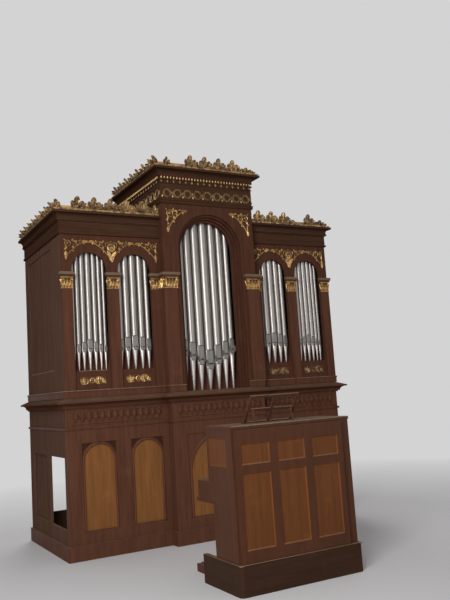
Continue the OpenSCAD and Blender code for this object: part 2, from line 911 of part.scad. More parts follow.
module spandrel_ornament() {
    top = side_ent_z - spandrel_drop;
    low = top - spandrel_h - pendant_l;
    color(gold) in_case() both_sides() {
        rotate([90, 0, 0]) linear_extrude(spandrel_t) difference() {
            translate([half_c + spandrel_in, low])
                square([side_w - spandrel_in - spandrel_end, top - low]);
            for (o = [[outer_open_x, outer_open_w], [inner_open_x, inner_open_w]])
                translate([o[0], side_spring]) circle(r = o[1] / 2 + spandrel_gap, $fn = 96);
        }
        translate([0, -centre_out, 0]) rotate([90, 0, 0]) linear_extrude(spandrel_t) difference() {
            translate([half_c - corner_in - corner_size, centre_ent_z - corner_drop - corner_size])
                square(corner_size);
            translate([0, centre_spring]) circle(r = centre_open_w / 2 + corner_gap, $fn = 96);
        }
    }
}

module relief_panels() {
    color(gold) in_case() both_sides()
        for (o = [[outer_open_x, outer_open_w], [inner_open_x, inner_open_w]]) {
            half = o[1] / 2 - relief_margin;
            span([o[0] - half, -relief_t, relief_z], [o[0] + half, 0, relief_z + relief_h]);
        }
}

// One leaf of the cresting, standing on z = 0 in the plane y = 0
module crest_leaf() {
    lobe_r = crest_leaf_w * 0.22;
    top_r = crest_h * 0.36;
    rotate([90, 0, 0]) linear_extrude(crest_t) intersection() {
        union() {
            translate([0, crest_h - top_r]) circle(top_r, $fn = 24);
            for (side = sides) translate([side * (crest_leaf_w / 2 - lobe_r), lobe_r * 0.8])
                circle(lobe_r, $fn = 24);
            translate([-lobe_r, 0]) square([2 * lobe_r, crest_h / 2]);
        }
        translate([-crest_leaf_w, 0]) square([2 * crest_leaf_w, 2 * crest_h]);
    }
}

// Places of the leaves along a stretch in its middle, as distances from its start
function leaf_places(length) =
    let (count = floor(length / crest_pitch), start = (length - (count - 1) * crest_pitch) / 2)
    [for (i = [0:count - 1]) start + i * crest_pitch];

// Cornice edges that carry cresting, each as [outer edge, front edge, back end, top]
side_edge = half_w + side_out - crest_inset;
centre_edge = half_c + centre_crown_out - crest_inset;
side_crest_front = crest_inset - side_out;
centre_crest_front = crest_inset - centre_out - centre_crown_out;
side_crest_l = side_edge - half_c - crest_gap;
side_leaf_n = 1 + floor((side_crest_l - crest_end - crest_leaf_w / 2) / crest_pitch);

module crest_fillets() {
    color(gold) in_case() {
        both_sides() translate([0, 0, side_top]) {
            translate([half_c + crest_gap, side_crest_front, 0])
                cube([side_crest_l, crest_t, crest_fillet_h]);
            span([side_edge - crest_t, side_crest_front, 0],
                 [side_edge, case_d - crest_inset, crest_fillet_h]);
        }
        translate([0, 0, centre_top]) {
            span([-centre_edge, centre_crest_front, 0],
                 [centre_edge, centre_crest_front + crest_t, crest_fillet_h]);
            both_sides() span([centre_edge - crest_t, centre_crest_front, 0],
                              [centre_edge, tower_d - crest_inset, crest_fillet_h]);
        }
    }
}

// Row of leaves along one side, from front to back
module side_leaves(x, front, back, top) {
    for (place = leaf_places(back - front))
        translate([x, front + place, top + crest_fillet_h]) rotate([0, 0, 90]) crest_leaf();
}

module crest_leaves() {
    places = leaf_places(2 * centre_edge);
    color(gold) in_case() {
        for (side = sides, i = [0:side_leaf_n - 1])
            if (side < 0 || len(search(i, right_gaps)) == 0)
                translate([side * (side_edge - (side < 0 ? crest_end : crest_end_right)
                                   - i * crest_pitch),
                           side_crest_front + crest_t, side_top + crest_fillet_h]) crest_leaf();
        for (i = [0:len(places) - 1]) if (len(search(i, centre_gaps)) == 0)
            translate([places[i] - centre_edge - crest_shift, centre_crest_front + crest_t,
                       centre_top + crest_fillet_h]) crest_leaf();
        both_sides() {
            side_leaves(side_edge - crest_t, side_crest_front + crest_t, case_d - crest_inset, side_top);
            side_leaves(centre_edge - crest_t, centre_crest_front + crest_t,
                        tower_d - crest_inset, centre_top);
        }
    }
}

// Pipes

module toe_boards() {
    color(wood) in_case() both_sides()
        span([half_c, board, toe_z - toe_t], [half_w - board, board + toe_d, toe_z]);
}

module foot_backboards() {
    y = board + toe_d - foot_board_t;
    color(wood) in_case() {
        both_sides() span([half_c, y, toe_z], [half_w - board, y + foot_board_t, toe_z + foot_board_h]);
        span([board - half_c, y, upper_z], [half_c - board, y + foot_board_t, upper_z + foot_board_h]);
    }
}

// Organ pipe: foot cone, closed languid and open body with a mouth to the front
module pipe(d, foot_h, height) {
    tip_r = d * 0.14;
    wall = pipe_wall;
    mouth_w = d * 0.7;
    cut_up = d * 0.24;
    difference() {
        union() {
            cylinder(h = foot_h, r1 = tip_r, r2 = d / 2);
            translate([0, 0, foot_h]) cylinder(h = height - foot_h, r = d / 2);
        }
        translate([0, 0, foot_h + wall]) cylinder(h = height, r = d / 2 - wall);
        translate([-mouth_w / 2, -d, foot_h + wall]) cube([mouth_w, d * 0.75, cut_up]);
    }
}

// Row of pipes in one opening, widest in the middle, with their mouths in a V or an arch
module pipe_row(count, d, taper, gap, base, foot_h, step, top) {
    middle = (count - 1) / 2;
    for (i = [0:count - 1]) {
        k = abs(i - middle);
        translate([sign(i - middle) * (k * (d + gap) - taper * k * k / 2), 0, base])
            pipe(d - k * taper, foot_h + k * step, top - base);
    }
}

module side_pipes() {
    color(tin) in_case() both_sides() {
        translate([outer_open_x, pipe_y, 0])
            pipe_row(outer_count, outer_pipe_d, outer_pipe_taper, outer_pipe_gap, toe_z,
                     outer_foot_h, -outer_foot_fall, side_ent_z - side_pipe_drop);
        translate([inner_open_x, pipe_y, 0])
            pipe_row(inner_count, inner_pipe_d, inner_pipe_taper, inner_pipe_gap, toe_z,
                     inner_foot_h, -inner_foot_fall, side_ent_z - side_pipe_drop);
    }
}

module centre_pipes() {
    gap = centre_pitch - centre_pipe_d + centre_pipe_taper / 2;
    color(tin) in_case() translate([0, pipe_y, 0])
        pipe_row(centre_count, centre_pipe_d, centre_pipe_taper, gap, upper_z, centre_foot_h,
                 centre_foot_rise, centre_ent_z - centre_pipe_drop);
}

// Console

half_console = console_w / 2;
name_y = console_d - recess_d;
plinth_d = console_d + key_table_out / 2;

module console_plinth() {
    grow = console_plinth_out;
    r = console_corner_r;
    depth = plinth_d;
    color(wood) in_console() difference() {
        linear_extrude(console_plinth_h) {
            for (x = sides) translate([x * (half_console + grow - r), r - grow]) circle(r);
            translate([-half_console - grow + r, -grow]) square([console_w + 2 * (grow - r), r]);
            translate([-half_console - grow, r - grow]) square([console_w + 2 * grow, depth + grow - r]);
        }
        span([console_board - half_console, console_board, -eps],
             [half_console - console_board, depth + eps, console_plinth_h + eps]);
    }
}

module console_sides() {
    color(wood) in_console() both_sides() difference() {
        translate([half_console - console_board, 0, 0]) rotate([90, 0, 90])
            linear_extrude(console_board) polygon([
                [back_frame_t, console_plinth_h], [name_y, console_plinth_h],
                [name_y, key_table_z], [console_d, key_table_z],
                [console_d, console_h - console_top_t], [back_frame_t, console_h - console_top_t]]);
        span([half_console - console_sunk, back_frame_t + side_panel_back,
              console_h - side_panel_drop - side_panel_h],
             [half_console + eps, console_d - side_panel_front, console_h - side_panel_drop]);
    }
}

// Back frame as one board with six openings
module console_back_frame() {
    left = back_frame_left - half_console;
    low = console_plinth_h;
    rows = [[low + bottom_rail_h, low_panel_h],
            [low + bottom_rail_h + low_panel_h + mid_rail_h, high_panel_h]];
    color(wood) in_console() difference() {
        span([left, 0, low], [left + back_frame_w, back_frame_t, low + back_frame_h]);
        for (i = [0:2], row = rows)
            translate([left + stile_w + i * (back_panel_w + mullion_w), -eps, row[0]])
                cube([back_panel_w, back_frame_t + 2 * eps, row[1]]);
    }
}

module console_back_panels() {
    left = back_frame_left - half_console + stile_w;
    low = console_plinth_h + bottom_rail_h;
    color(orange_wood) in_console() for (i = [0:2])
        translate([left + i * (back_panel_w + mullion_w), panel_set, 0]) {
            translate([0, 0, low]) cube([back_panel_w, back_frame_t - panel_set, low_panel_h]);
            translate([0, 0, low + low_panel_h + mid_rail_h])
                cube([back_panel_w, back_frame_t - panel_set, high_panel_h]);
        }
}

module console_top() {
    color(wood) in_console()
        span([-half_console - top_lip, back_frame_t - top_lip, console_h - console_top_t],
             [half_console + top_lip, console_d + top_lip, console_h]);
}

module keydesk() {
    inner = half_console - console_board;
    jamb_w = (console_w - manual_w) / 2 - console_board;
    color(wood) in_console() {
        // Carcass back behind the panelled frame
        span([-inner, back_frame_t, console_plinth_h],
             [inner, back_frame_t + console_board, console_h - console_top_t]);
        // Key table
        span([-inner, back_frame_t, key_table_z - key_table_t],
             [inner, console_d + key_table_out, key_table_z]);
        // Kick board behind the pedals
        span([-inner, name_y - console_board, 0], [inner, name_y, key_table_z - key_table_t]);
        // Name board over the upper manual
        span([-inner, name_y - console_board, key_table_z], [inner, name_y, console_h - console_top_t]);
        // Block under the upper manual
        span([-manual_w / 2, name_y, key_table_z],
             [manual_w / 2, manual_place(0)[0] - key_l - key_gap, manual_place(1)[1]]);
        both_sides() span([inner - jamb_w, name_y, key_table_z],
                          [inner, console_d + key_table_out - cheek_set, key_table_z + cheek_h]);
    }
}

// Front edge of one manual and the height of its underside
function manual_place(i) =
    [console_d + key_table_out - manual_set - i * manual_back, key_table_z + i * manual_rise];

module manual_naturals() {
    color("ivory") in_console() for (i = [0, 1])
        translate([-manual_w / 2, manual_place(i)[0] - key_l, manual_place(i)[1]])
            cube([manual_w, key_l, key_h]);
}

module manual_sharps() {
    pitch = manual_w / (sharp_count + 1);
    color("black") in_console() for (i = [0, 1], k = [1:sharp_count])
        translate([k * pitch - manual_w / 2 - sharp_w / 2, manual_place(i)[0] - key_l,
                   manual_place(i)[1] + key_h])
            cube([sharp_w, sharp_l, sharp_h]);
}

module stop_knobs() {
    color("ivory") in_console() both_sides() for (k = [0:knob_rows - 1], c = [0, 1])
        translate([half_console - console_board - knob_in - c * knob_column, name_y,
                   key_table_z + knob_low + k * knob_pitch])
            rotate([-90, 0, 0]) {
                cylinder(h = knob_stem, r = knob_r / 2);
                translate([0, 0, knob_stem]) cylinder(h = knob_l, r = knob_r);
            }
}

module pedal_frame() {
    low = pedal_rail_h - pedal_drop;
    color(wood) in_console() {
        for (y = [name_y, name_y + pedal_l - cross_rail_w])
            span([-pedal_w / 2, y, 0], [pedal_w / 2, y + cross_rail_w, low]);
        both_sides() span([pedal_w / 2 - pedal_rail_w, name_y, 0],
                          [pedal_w / 2, name_y + pedal_l, pedal_rail_h]);
    }
}

module pedal_keys() {
    low = pedal_rail_h - pedal_drop;
    pitch = (pedal_w - 2 * pedal_end) / (pedal_naturals - 1);
    sharp_gaps = [for (k = [0:pedal_naturals - 2]) if (k % 7 != 2 && k % 7 != 6) k];
    color(orange_wood) in_console() translate([pedal_end - pedal_w / 2, name_y + pedal_gap, low]) {
        for (k = [0:pedal_naturals - 1]) translate([k * pitch - pedal_key_w / 2, 0, 0])
            cube([pedal_key_w, pedal_l - 2 * pedal_gap, pedal_key_h]);
        for (k = sharp_gaps) translate([(pedal_naturals - k - 1.5) * pitch - pedal_sharp_w / 2, 0, 0])
            cube([pedal_sharp_w, pedal_sharp_l, pedal_sharp_h]);
    }
}

// Music desk: bars in one leaning plane on a foot board, with two struts behind
module music_desk() {
    slope = atan2(desk_lean, desk_h);
    length = norm([desk_h, desk_lean]);
    window = [(desk_w - 3 * desk_bar_w) / 2, (length - 3 * desk_bar_w) / 2];
    strut = desk_t;
    color(wood) in_console() translate([-desk_left, desk_y, console_h]) {
        difference() {
            rotate([90 + slope, 0, 0]) linear_extrude(desk_t) difference() {
                translate([-desk_w / 2, -desk_bar_w]) square([desk_w, length + desk_bar_w]);
                for (x = [-desk_bar_w / 2 - window[0], desk_bar_w / 2], k = [0, 1])
                    translate([x, desk_bar_w + k * (window[1] + desk_bar_w)]) square(window);
            }
            span([-desk_w, -desk_w, -desk_w], [desk_w, desk_w, 0]);
        }
        span([ledge_in - desk_w / 2, -desk_t, 0], [desk_w / 2 - ledge_in, desk_ledge, ledge_t]);
        for (x = sides * (desk_w / 2 - strut_in))
            translate([x - strut / 2, 0, 0]) rotate([90, 0, 90]) linear_extrude(strut) polygon([
                [-strut_foot, 0], [strut - strut_foot, 0],
                [-(desk_lean + strut) / 2, desk_h / 2], [-desk_lean / 2 - strut * 1.5, desk_h / 2]]);
    }
}

case_skirting();
lower_side_fronts();
lower_centre_front();
lower_panels();
case_sides();
case_backs();
bay_panels();
lower_moulding();
frieze_carving();
mid_cornice();
case_deck();
upper_base();
upper_side_fronts();
upper_centre_front();
centre_arch_steps();
tower_sides();
side_roofs();
middle_roofs();
side_entablatures();
centre_entablature();
pilasters();
capitals();
abacus_slabs();
ring_frieze();
bead_strip();
spandrel_ornament();
relief_panels();
crest_fillets();
crest_leaves();
toe_boards();
foot_backboards();
side_pipes();
centre_pipes();
console_plinth();
console_sides();
console_back_frame();
console_back_panels();
console_top();
keydesk();
manual_naturals();
manual_sharps();
stop_knobs();
pedal_frame();
pedal_keys();
music_desk();
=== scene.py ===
"""Dresses the pipe organ: carved and gilded ornament, pipes, keys and the finishes of its wood."""
import json
import math

import bmesh
import bpy
from bpy.props import FloatProperty, FloatVectorProperty, IntProperty, PointerProperty
from mathutils import Matrix, Vector


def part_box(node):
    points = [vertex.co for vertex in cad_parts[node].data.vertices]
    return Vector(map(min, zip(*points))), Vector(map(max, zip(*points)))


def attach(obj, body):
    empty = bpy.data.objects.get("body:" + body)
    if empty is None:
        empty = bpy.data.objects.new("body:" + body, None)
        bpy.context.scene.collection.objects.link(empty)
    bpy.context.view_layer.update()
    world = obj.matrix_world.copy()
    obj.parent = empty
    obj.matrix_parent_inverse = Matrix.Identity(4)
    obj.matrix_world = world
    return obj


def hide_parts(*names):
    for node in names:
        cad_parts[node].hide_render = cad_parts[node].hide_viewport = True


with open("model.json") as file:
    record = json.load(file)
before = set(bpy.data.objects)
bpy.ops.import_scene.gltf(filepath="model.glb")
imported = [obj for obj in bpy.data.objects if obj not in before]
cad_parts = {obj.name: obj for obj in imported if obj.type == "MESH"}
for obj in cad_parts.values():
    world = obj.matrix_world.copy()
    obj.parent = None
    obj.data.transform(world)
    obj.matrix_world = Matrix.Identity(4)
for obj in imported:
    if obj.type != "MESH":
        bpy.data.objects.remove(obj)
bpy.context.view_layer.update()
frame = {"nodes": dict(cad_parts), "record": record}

bl_info = {
    "name": "Pipe Organ",
    "version": (1, 0, 0),
    "blender": (4, 5, 0),
    "location": "View3D > Sidebar > Organ",
    "description": "Builds the carved, gilded and metal pieces of a church organ round its case",
    "category": "Object",
}

# Front planes of the side bays and of the middle bay, and half the width up to each one's side
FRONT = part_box("upper_side_fronts")[0][1]
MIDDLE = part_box("upper_centre_front")[0][1]
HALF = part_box("upper_side_fronts")[1][0]
HALF_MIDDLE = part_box("upper_centre_front")[1][0]
TOWER_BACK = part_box("tower_sides")[1][1]
CASE_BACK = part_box("case_sides")[1][1]
# Middles of the outer and the inner side opening, and the plane of the pipes' axes
OPENING_X = (1.435, 0.9175)
PIPE_Y = FRONT + 0.080
SIDES = (-1, 1)
QUARTER = math.pi / 2


# Modelling by hand: small helpers round Blender's own operators

def put_down():
    """Leaves edit mode and leaves nothing selected."""
    if bpy.context.object and bpy.context.object.mode != "OBJECT":
        bpy.ops.object.mode_set(mode="OBJECT")
    bpy.ops.object.select_all(action="DESELECT")


def take(obj):
    """Makes one object the only selected one."""
    put_down()
    obj.select_set(True)
    bpy.context.view_layer.objects.active = obj
    return obj


def edit(obj, kind="VERT"):
    """Opens an object in edit mode with all of it selected."""
    take(obj)
    bpy.ops.object.mode_set(mode="EDIT")
    bpy.ops.mesh.select_mode(type=kind)
    bpy.ops.mesh.select_all(action="SELECT")


def pick(obj, test, kind="VERT"):
    """Selects, in edit mode, what passes a test of its place, normal and number."""
    bpy.ops.mesh.select_mode(type=kind)
    bpy.ops.mesh.select_all(action="DESELECT")
    mesh = bmesh.from_edit_mesh(obj.data)
    for number, part in enumerate(mesh.verts if kind == "VERT" else mesh.faces):
        place = part.co if kind == "VERT" else part.calc_center_median()
        if test(place, part.normal, number):
            part.select_set(True)
    mesh.select_flush_mode()
    bmesh.update_edit_mesh(obj.data)


def shaped(obj, name):
    """Ends the shaping: turns and scales go into the mesh, which gets its name."""
    take(obj)
    bpy.ops.object.transform_apply(location=True, rotation=True, scale=True)
    obj.name = obj.data.name = name
    return obj


def modifier(obj, kind, **values):
    """Adds one modifier and applies it."""
    take(obj)
    bpy.ops.object.modifier_add(type=kind)
    made = obj.modifiers[-1]
    for key, value in values.items():
        setattr(made, key, value)
    bpy.ops.object.modifier_apply(modifier=made.name)


def moved(obj, place):
    """Moves an object's mesh by a matrix, and keeps its faces pointing outwards."""
    obj.data.transform(place)
    if place.determinant() < 0:
        obj.data.flip_normals()
    return obj


def copies(master, places, name, keep=False):
    """Copies of a master, each with its own mesh, joined to one piece."""
    made = []
    for place in places:
        twin = master.copy()
        twin.data = master.data.copy()
        bpy.context.scene.collection.objects.link(twin)
        made.append(moved(twin, place))
    if not keep:
        bpy.data.objects.remove(master)
    return joined(made, name)


def joined(parts, name):
    """Joins several objects to one."""
    take(parts[0])
    for part in parts[1:]:
        part.select_set(True)
    if len(parts) > 1:
        bpy.ops.object.join()
    made = bpy.context.object
    made.name = made.data.name = name
    return made


def at(x=0.0, y=0.0, z=0.0, turn=0.0, scale=(1, 1, 1), lean=0.0, roll=0.0):
    """Place of a copy: scaled, rolled in its plane, leant back, turned about Z and moved."""
    return (Matrix.Translation((x, y, z)) @ Matrix.Rotation(turn, 4, "Z")
            @ Matrix.Rotation(lean, 4, "X") @ Matrix.Rotation(roll, 4, "Y")
            @ Matrix.Diagonal((*scale, 1)))


def turned(name, rings, sides):
    """Round piece on the Z axis, extruded ring by ring from a disc; rings are (height, radius)."""
    put_down()
    height, radius = rings[0]
    bpy.ops.mesh.primitive_circle_add(
        vertices=sides, radius=radius, fill_type="NGON", location=(0, 0, height))
    obj = bpy.context.object
    edit(obj, "FACE")
    for next_height, next_radius in rings[1:]:
        bpy.ops.mesh.extrude_region_move(
            TRANSFORM_OT_translate={"value": (0, 0, next_height - height)})
        grow = next_radius / radius
        bpy.ops.transform.resize(value=(grow, grow, 1), center_override=(0, 0, next_height))
        height, radius = next_height, next_radius
    bpy.ops.mesh.select_all(action="SELECT")
    bpy.ops.mesh.normals_make_consistent(inside=False)
    return shaped(obj, name)


def block(name, low, high, bevel=0.002, segments=2):
    """Block with softened edges between two corners."""
    put_down()
    low, high = Vector(low), Vector(high)
    bpy.ops.mesh.primitive_cube_add(size=1, location=(low + high) / 2, scale=high - low)
    obj = bpy.context.object
    shaped(obj, name)
    edit(obj, "EDGE")
    bpy.ops.mesh.bevel(offset=bevel, segments=segments, affect="EDGES", clamp_overlap=True)
    put_down()
    return obj


def leaf(name, length, rows, rib, thickness, smooth=1):
    """Lobed leaf that grows up from the origin in the XZ plane, with its face to -Y.
    Rows are (share of the length, half width, how far it bends to the front)."""
    put_down()
    last = len(rows) - 1
    columns = 4
    wide = columns + 1
    bpy.ops.mesh.primitive_grid_add(x_subdivisions=columns, y_subdivisions=last, size=2)
    obj = bpy.context.object
    edit(obj)
    for number, (along, half, bend) in enumerate(rows):
        start = -1 + 2 * number / last
        pick(obj, lambda p, n, i: i // wide == number)
        bpy.ops.transform.resize(value=(half, 1, 1), center_override=(0, start, 0))
        bpy.ops.transform.translate(value=(0, along * length - start, bend))
    ridge = rib * max(row[1] for row in rows)
    pick(obj, lambda p, n, i: i % wide == columns // 2 and i // wide < last)
    bpy.ops.transform.translate(value=(0, 0, ridge))
    pick(obj, lambda p, n, i: i % wide in (1, columns - 1) and 0 < i // wide < last)
    bpy.ops.transform.translate(value=(0, 0, -ridge * 0.5))
    put_down()
    obj.rotation_euler = (QUARTER, 0, 0)
    shaped(obj, name)
    modifier(obj, "SOLIDIFY", thickness=thickness, offset=-1)
    if smooth:
        modifier(obj, "SUBSURF", levels=smooth, render_levels=smooth)
    return obj


def carved_lines(name, lines, round_steps=1):
    """Rounded lines in the XZ plane, swept along points of (x, z, radius)."""
    put_down()
    bpy.ops.curve.primitive_nurbs_path_add()
    obj = bpy.context.object
    obj.data.splines.clear()
    for line in lines:
        spline = obj.data.splines.new("POLY")
        spline.points.add(len(line) - 1)
        for point, (x, z, radius) in zip(spline.points, line):
            point.co = (x, 0, z, 1)
            point.radius = radius
    obj.data.bevel_depth = 1
    obj.data.bevel_resolution = round_steps
    obj.data.use_fill_caps = True
    bpy.ops.object.convert(target="MESH")
    return shaped(bpy.context.object, name)


def scroll(x, z, radius, start, turns, thick, inner=0.22):
    """Points of a scroll that winds inwards round (x, z) from the angle start, in degrees."""
    count = max(6, round(abs(turns) * 14))
    points = []
    for k in range(count + 1):
        share = k / count
        reach = radius * (1 - share * (1 - inner))
        angle = math.radians(start) + turns * 2 * math.pi * share
        points.append((x + reach * math.cos(angle), z + reach * math.sin(angle),
                       thick * (1 - 0.45 * share)))
    return points


def bow(start, lead, draw, end, thick, tip, count=9):
    """Points of one bent stem between start and end, thinning from thick to tip."""
    points = []
    for k in range(count + 1):
        t = k / count
        a, b, c, d = (1 - t) ** 3, 3 * t * (1 - t) ** 2, 3 * t * t * (1 - t), t ** 3
        points.append((a * start[0] + b * lead[0] + c * draw[0] + d * end[0],
                       a * start[1] + b * lead[1] + c * draw[1] + d * end[1],
                       thick + (tip - thick) * t))
    return points


def settle(obj, finish, slot, *nodes, smooth=35):
    """Gives a finished piece its look, and lets it ride and stand for its nodes; its slot is not used.
    A piece whose parts have looks of their own is settled with None."""
    take(obj)
    bpy.ops.object.transform_apply(location=True, rotation=True, scale=True)
    bpy.ops.object.shade_smooth_by_angle(angle=math.radians(smooth))
    if finish:
        obj.data.materials.clear()
        obj.data.materials.append(look(finish))
    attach(obj, "root")
    if nodes:
        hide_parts(*nodes)
    put_down()


# Looks: shader groups that several finishes share, and the finishes

def put(tree, socket, value):
    """Links a socket, or sets its value."""
    if isinstance(value, bpy.types.NodeSocket):
        tree.links.new(value, socket)
    else:
        socket.default_value = value


def node(tree, kind, sockets=None, **settings):
    """Adds one node with its settings and its inputs."""
    made = tree.nodes.new(kind)
    for key, value in settings.items():
        setattr(made, key, value)
    for key, value in (sockets or {}).items():
        put(tree, made.inputs[key], value)
    return made


def colour_mix(tree, factor, first, second):
    """Mixes two colours and returns the mixed socket."""
    return node(tree, "ShaderNodeMix", {0: factor, 6: first, 7: second},
                data_type="RGBA").outputs[2]


def math_node(tree, operation, *values):
    """One math node with its values in order."""
    return node(tree, "ShaderNodeMath", dict(enumerate(values)), operation=operation).outputs[0]


def ramp(tree, value, low, high, first=0.0, last=1.0):
    """Maps a value from low..high to first..last, held at both ends."""
    return node(tree, "ShaderNodeMapRange",
                {0: value, 1: low, 2: high, 3: first, 4: last}, clamp=True).outputs[0]


def new_group(name, build, inputs, outputs):
    """Shader group: inputs are a number or a vector each, outputs are numbers."""
    tree = bpy.data.node_groups.new(name, "ShaderNodeTree")
    for key, default in inputs.items():
        kind = "NodeSocketFloat" if isinstance(default, float) else "NodeSocketVector"
        socket = tree.interface.new_socket(name=key, in_out="INPUT", socket_type=kind)
        socket.default_value = default
    for key in outputs:
        tree.interface.new_socket(name=key, in_out="OUTPUT", socket_type="NodeSocketFloat")
    start = tree.nodes.new("NodeGroupInput")
    end = tree.nodes.new("NodeGroupOutput")
    for key, value in build(tree, start.outputs).items():
        put(tree, end.inputs[key], value)
    return tree


def place_of(tree):
    """Place on the piece, in the frame that all pieces share."""
    return node(tree, "ShaderNodeTexCoord").outputs["Object"]


def height_of(tree, vector):
    """The upward share of a place or a normal."""
    return node(tree, "ShaderNodeSeparateXYZ", {0: vector}).outputs[2]


def noise(tree, vector, scale, detail, rough, distortion=0.0):
    """Cloudy values over the piece."""
    return node(tree, "ShaderNodeTexNoise", {
        "Vector": vector, "Scale": scale, "Detail": detail, "Roughness": rough,
        "Distortion": distortion}).outputs[0]


def grain_nodes(tree, given):
    """Streaks that run along the wood, and the fine pores between them."""
    scaled = node(tree, "ShaderNodeVectorMath", {0: place_of(tree), 1: given["Stretch"]},
                  operation="MULTIPLY").outputs[0]
    broad = noise(tree, scaled, 1.0, 5.0, 0.6, 0.35)
    fine = noise(tree, scaled, 5.5, 3.0, 0.7)
    streak = math_node(tree, "ADD", math_node(tree, "MULTIPLY", broad, 0.7),
                       math_node(tree, "MULTIPLY", fine, 0.3))
    return {"Streak": ramp(tree, streak, 0.36, 0.66), "Height": streak}


def dust_and_painted_shade_nodes(tree, given):
    """Dust that lies where a surface looks up, thicker in patches, and painted shade on undersides."""
    up = height_of(tree, node(tree, "ShaderNodeNewGeometry").outputs["Normal"])
    lies = ramp(tree, up, 0.45, 0.97)
    thick = ramp(tree, noise(tree, place_of(tree), 14.0, 4.0, 0.65), 0.25, 0.7, 0.45, 1.0)
    mask = math_node(tree, "MULTIPLY", math_node(tree, "MULTIPLY", lies, thick), given["Amount"])
    return {"Mask": mask, "Under": ramp(tree, up, -0.15, -0.85)}


def wear_nodes(tree, given):
    """Blotches where the finish has gone thin or dull."""
    blotch = noise(tree, place_of(tree), given["Scale"], 6.0, 0.7)
    edge = math_node(tree, "SUBTRACT", 0.72, math_node(tree, "MULTIPLY", given["Amount"], 0.4))
    return {"Mask": ramp(tree, math_node(tree, "SUBTRACT", blotch, edge), -0.03, 0.09),
            "Cloud": blotch}


# How far the grain is drawn out on upright and on level boards
UPRIGHT = (26.0, 26.0, 1.6)
LEVEL = (1.6, 1.6, 30.0)

GROUPS = {
    "Wood Grain": (grain_nodes, {"Stretch": UPRIGHT}, ("Streak", "Height")),
    # The Dust group also gives painted shade: its second output darkens surfaces that face down.
    "Dust": (dust_and_painted_shade_nodes, {"Amount": 0.7}, ("Mask", "Under")),
    "Wear": (wear_nodes, {"Scale": 20.0, "Amount": 0.3}, ("Mask", "Cloud")),
}


def placed_group(tree, name, **values):
    """Places a shader group, which is built once, in a material with its own values."""
    made = tree.nodes.new("ShaderNodeGroup")
    made.node_tree = bpy.data.node_groups.get(name) or new_group(name, *GROUPS[name])
    for key, value in values.items():
        put(tree, made.inputs[key], value)
    return made.outputs


def new_look(name):
    """Empty material: its tree and its shader."""
    made = bpy.data.materials.new(name)
    made.use_nodes = True
    tree = made.node_tree
    return made, tree, tree.nodes["Principled BSDF"]


def tone(colour, factor=1.0):
    """A colour made lighter or darker, as RGBA."""
    return (*(min(1.0, c * factor) for c in colour), 1.0)


def bumped(tree, shader, height, strength):
    """Raises the surface a little where the height is great."""
    bump = node(tree, "ShaderNodeBump", {"Height": height, "Strength": strength,
                                         "Distance": 0.002})
    put(tree, shader.inputs["Normal"], bump.outputs[0])


def wood(name, colour, tint=1.0, contrast=0.22, stretch=UPRIGHT, gloss=0.42, dust=0.7, wear=0.25,
         shine=0.03):
    """Varnished wood with grain, worn patches, painted shade below and dust on what looks up."""
    base = [c * tint for c in colour]
    made, tree, shader = new_look(name)
    grain = placed_group(tree, "Wood Grain", Stretch=stretch)
    worn = placed_group(tree, "Wear", Scale=4.5, Amount=wear)
    dust_and_shade = placed_group(tree, "Dust", Amount=dust)
    dusty = dust_and_shade["Mask"]
    seen = colour_mix(tree, grain["Streak"], tone(base, 1 - contrast), tone(base, 1 + contrast))
    # Painted shade: where the surface faces down, the wood is mixed up to halfway towards a far darker
    # tone of itself.
    seen = colour_mix(tree, math_node(tree, "MULTIPLY", dust_and_shade["Under"], 0.5), seen,
                      tone(base, 0.3))
    seen = colour_mix(tree, math_node(tree, "MULTIPLY", worn["Mask"], 0.35), seen,
                      tone(base, 1.6))
    grey = tone(bpy.context.scene.organ_colours.dust)
    put(tree, shader.inputs["Base Color"], colour_mix(tree, dusty, seen, grey))
    matt = ramp(tree, worn["Cloud"], 0.3, 0.7, gloss - 0.06, gloss + 0.14)
    put(tree, shader.inputs["Roughness"],
        math_node(tree, "ADD", matt, math_node(tree, "MULTIPLY", dusty, 0.4)))
    shader.inputs["Specular IOR Level"].default_value = shine
    bumped(tree, shader, grain["Height"], 0.18)
    return made


def over_base(made, mask, colour, swapped=False):
    """Lays a colour over a finished look's own where the mask is one, or where it is nought."""
    tree = made.node_tree
    base = tree.nodes["Principled BSDF"].inputs["Base Color"]
    under = base.links[0].from_socket
    first, second = (colour, under) if swapped else (under, colour)
    put(tree, base, colour_mix(tree, mask, first, second))


def dusty_slab(name, colour):
    """Varnished slab whose upper part has gone grey with dust."""
    made = wood(name, colour, stretch=LEVEL, dust=0.9)
    tree = made.node_tree
    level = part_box("abacus_slabs")[1][2] - 0.030
    mask = ramp(tree, height_of(tree, place_of(tree)), level - 0.004, level + 0.004, 0.0, 0.85)
    over_base(made, mask, tone(bpy.context.scene.organ_colours.dust, 0.62))
    return made


def gilt(name, colour, wear=0.45, shine=0.8, scale=26.0, tint=1.0, gloss=0.3):
    """Gold leaf over a red-brown ground that shows where it is rubbed."""
    made, tree, shader = new_look(name)
    worn = placed_group(tree, "Wear", Scale=scale, Amount=wear)
    soft = placed_group(tree, "Wear", Scale=7.0, Amount=0.3)["Cloud"]
    gold = colour_mix(tree, ramp(tree, soft, 0.35, 0.65), tone(colour, 0.72 * tint),
                      tone(colour, 1.25 * tint))
    put(tree, shader.inputs["Base Color"],
        colour_mix(tree, worn["Mask"], gold, tone(bpy.context.scene.organ_colours.bole)))
    put(tree, shader.inputs["Metallic"],
        math_node(tree, "MULTIPLY", math_node(tree, "SUBTRACT", 1.0, worn["Mask"]), shine))
    put(tree, shader.inputs["Roughness"], ramp(tree, worn["Cloud"], 0.3, 0.7, gloss, gloss + 0.28))
    bumped(tree, shader, worn["Cloud"], 0.3)
    return made


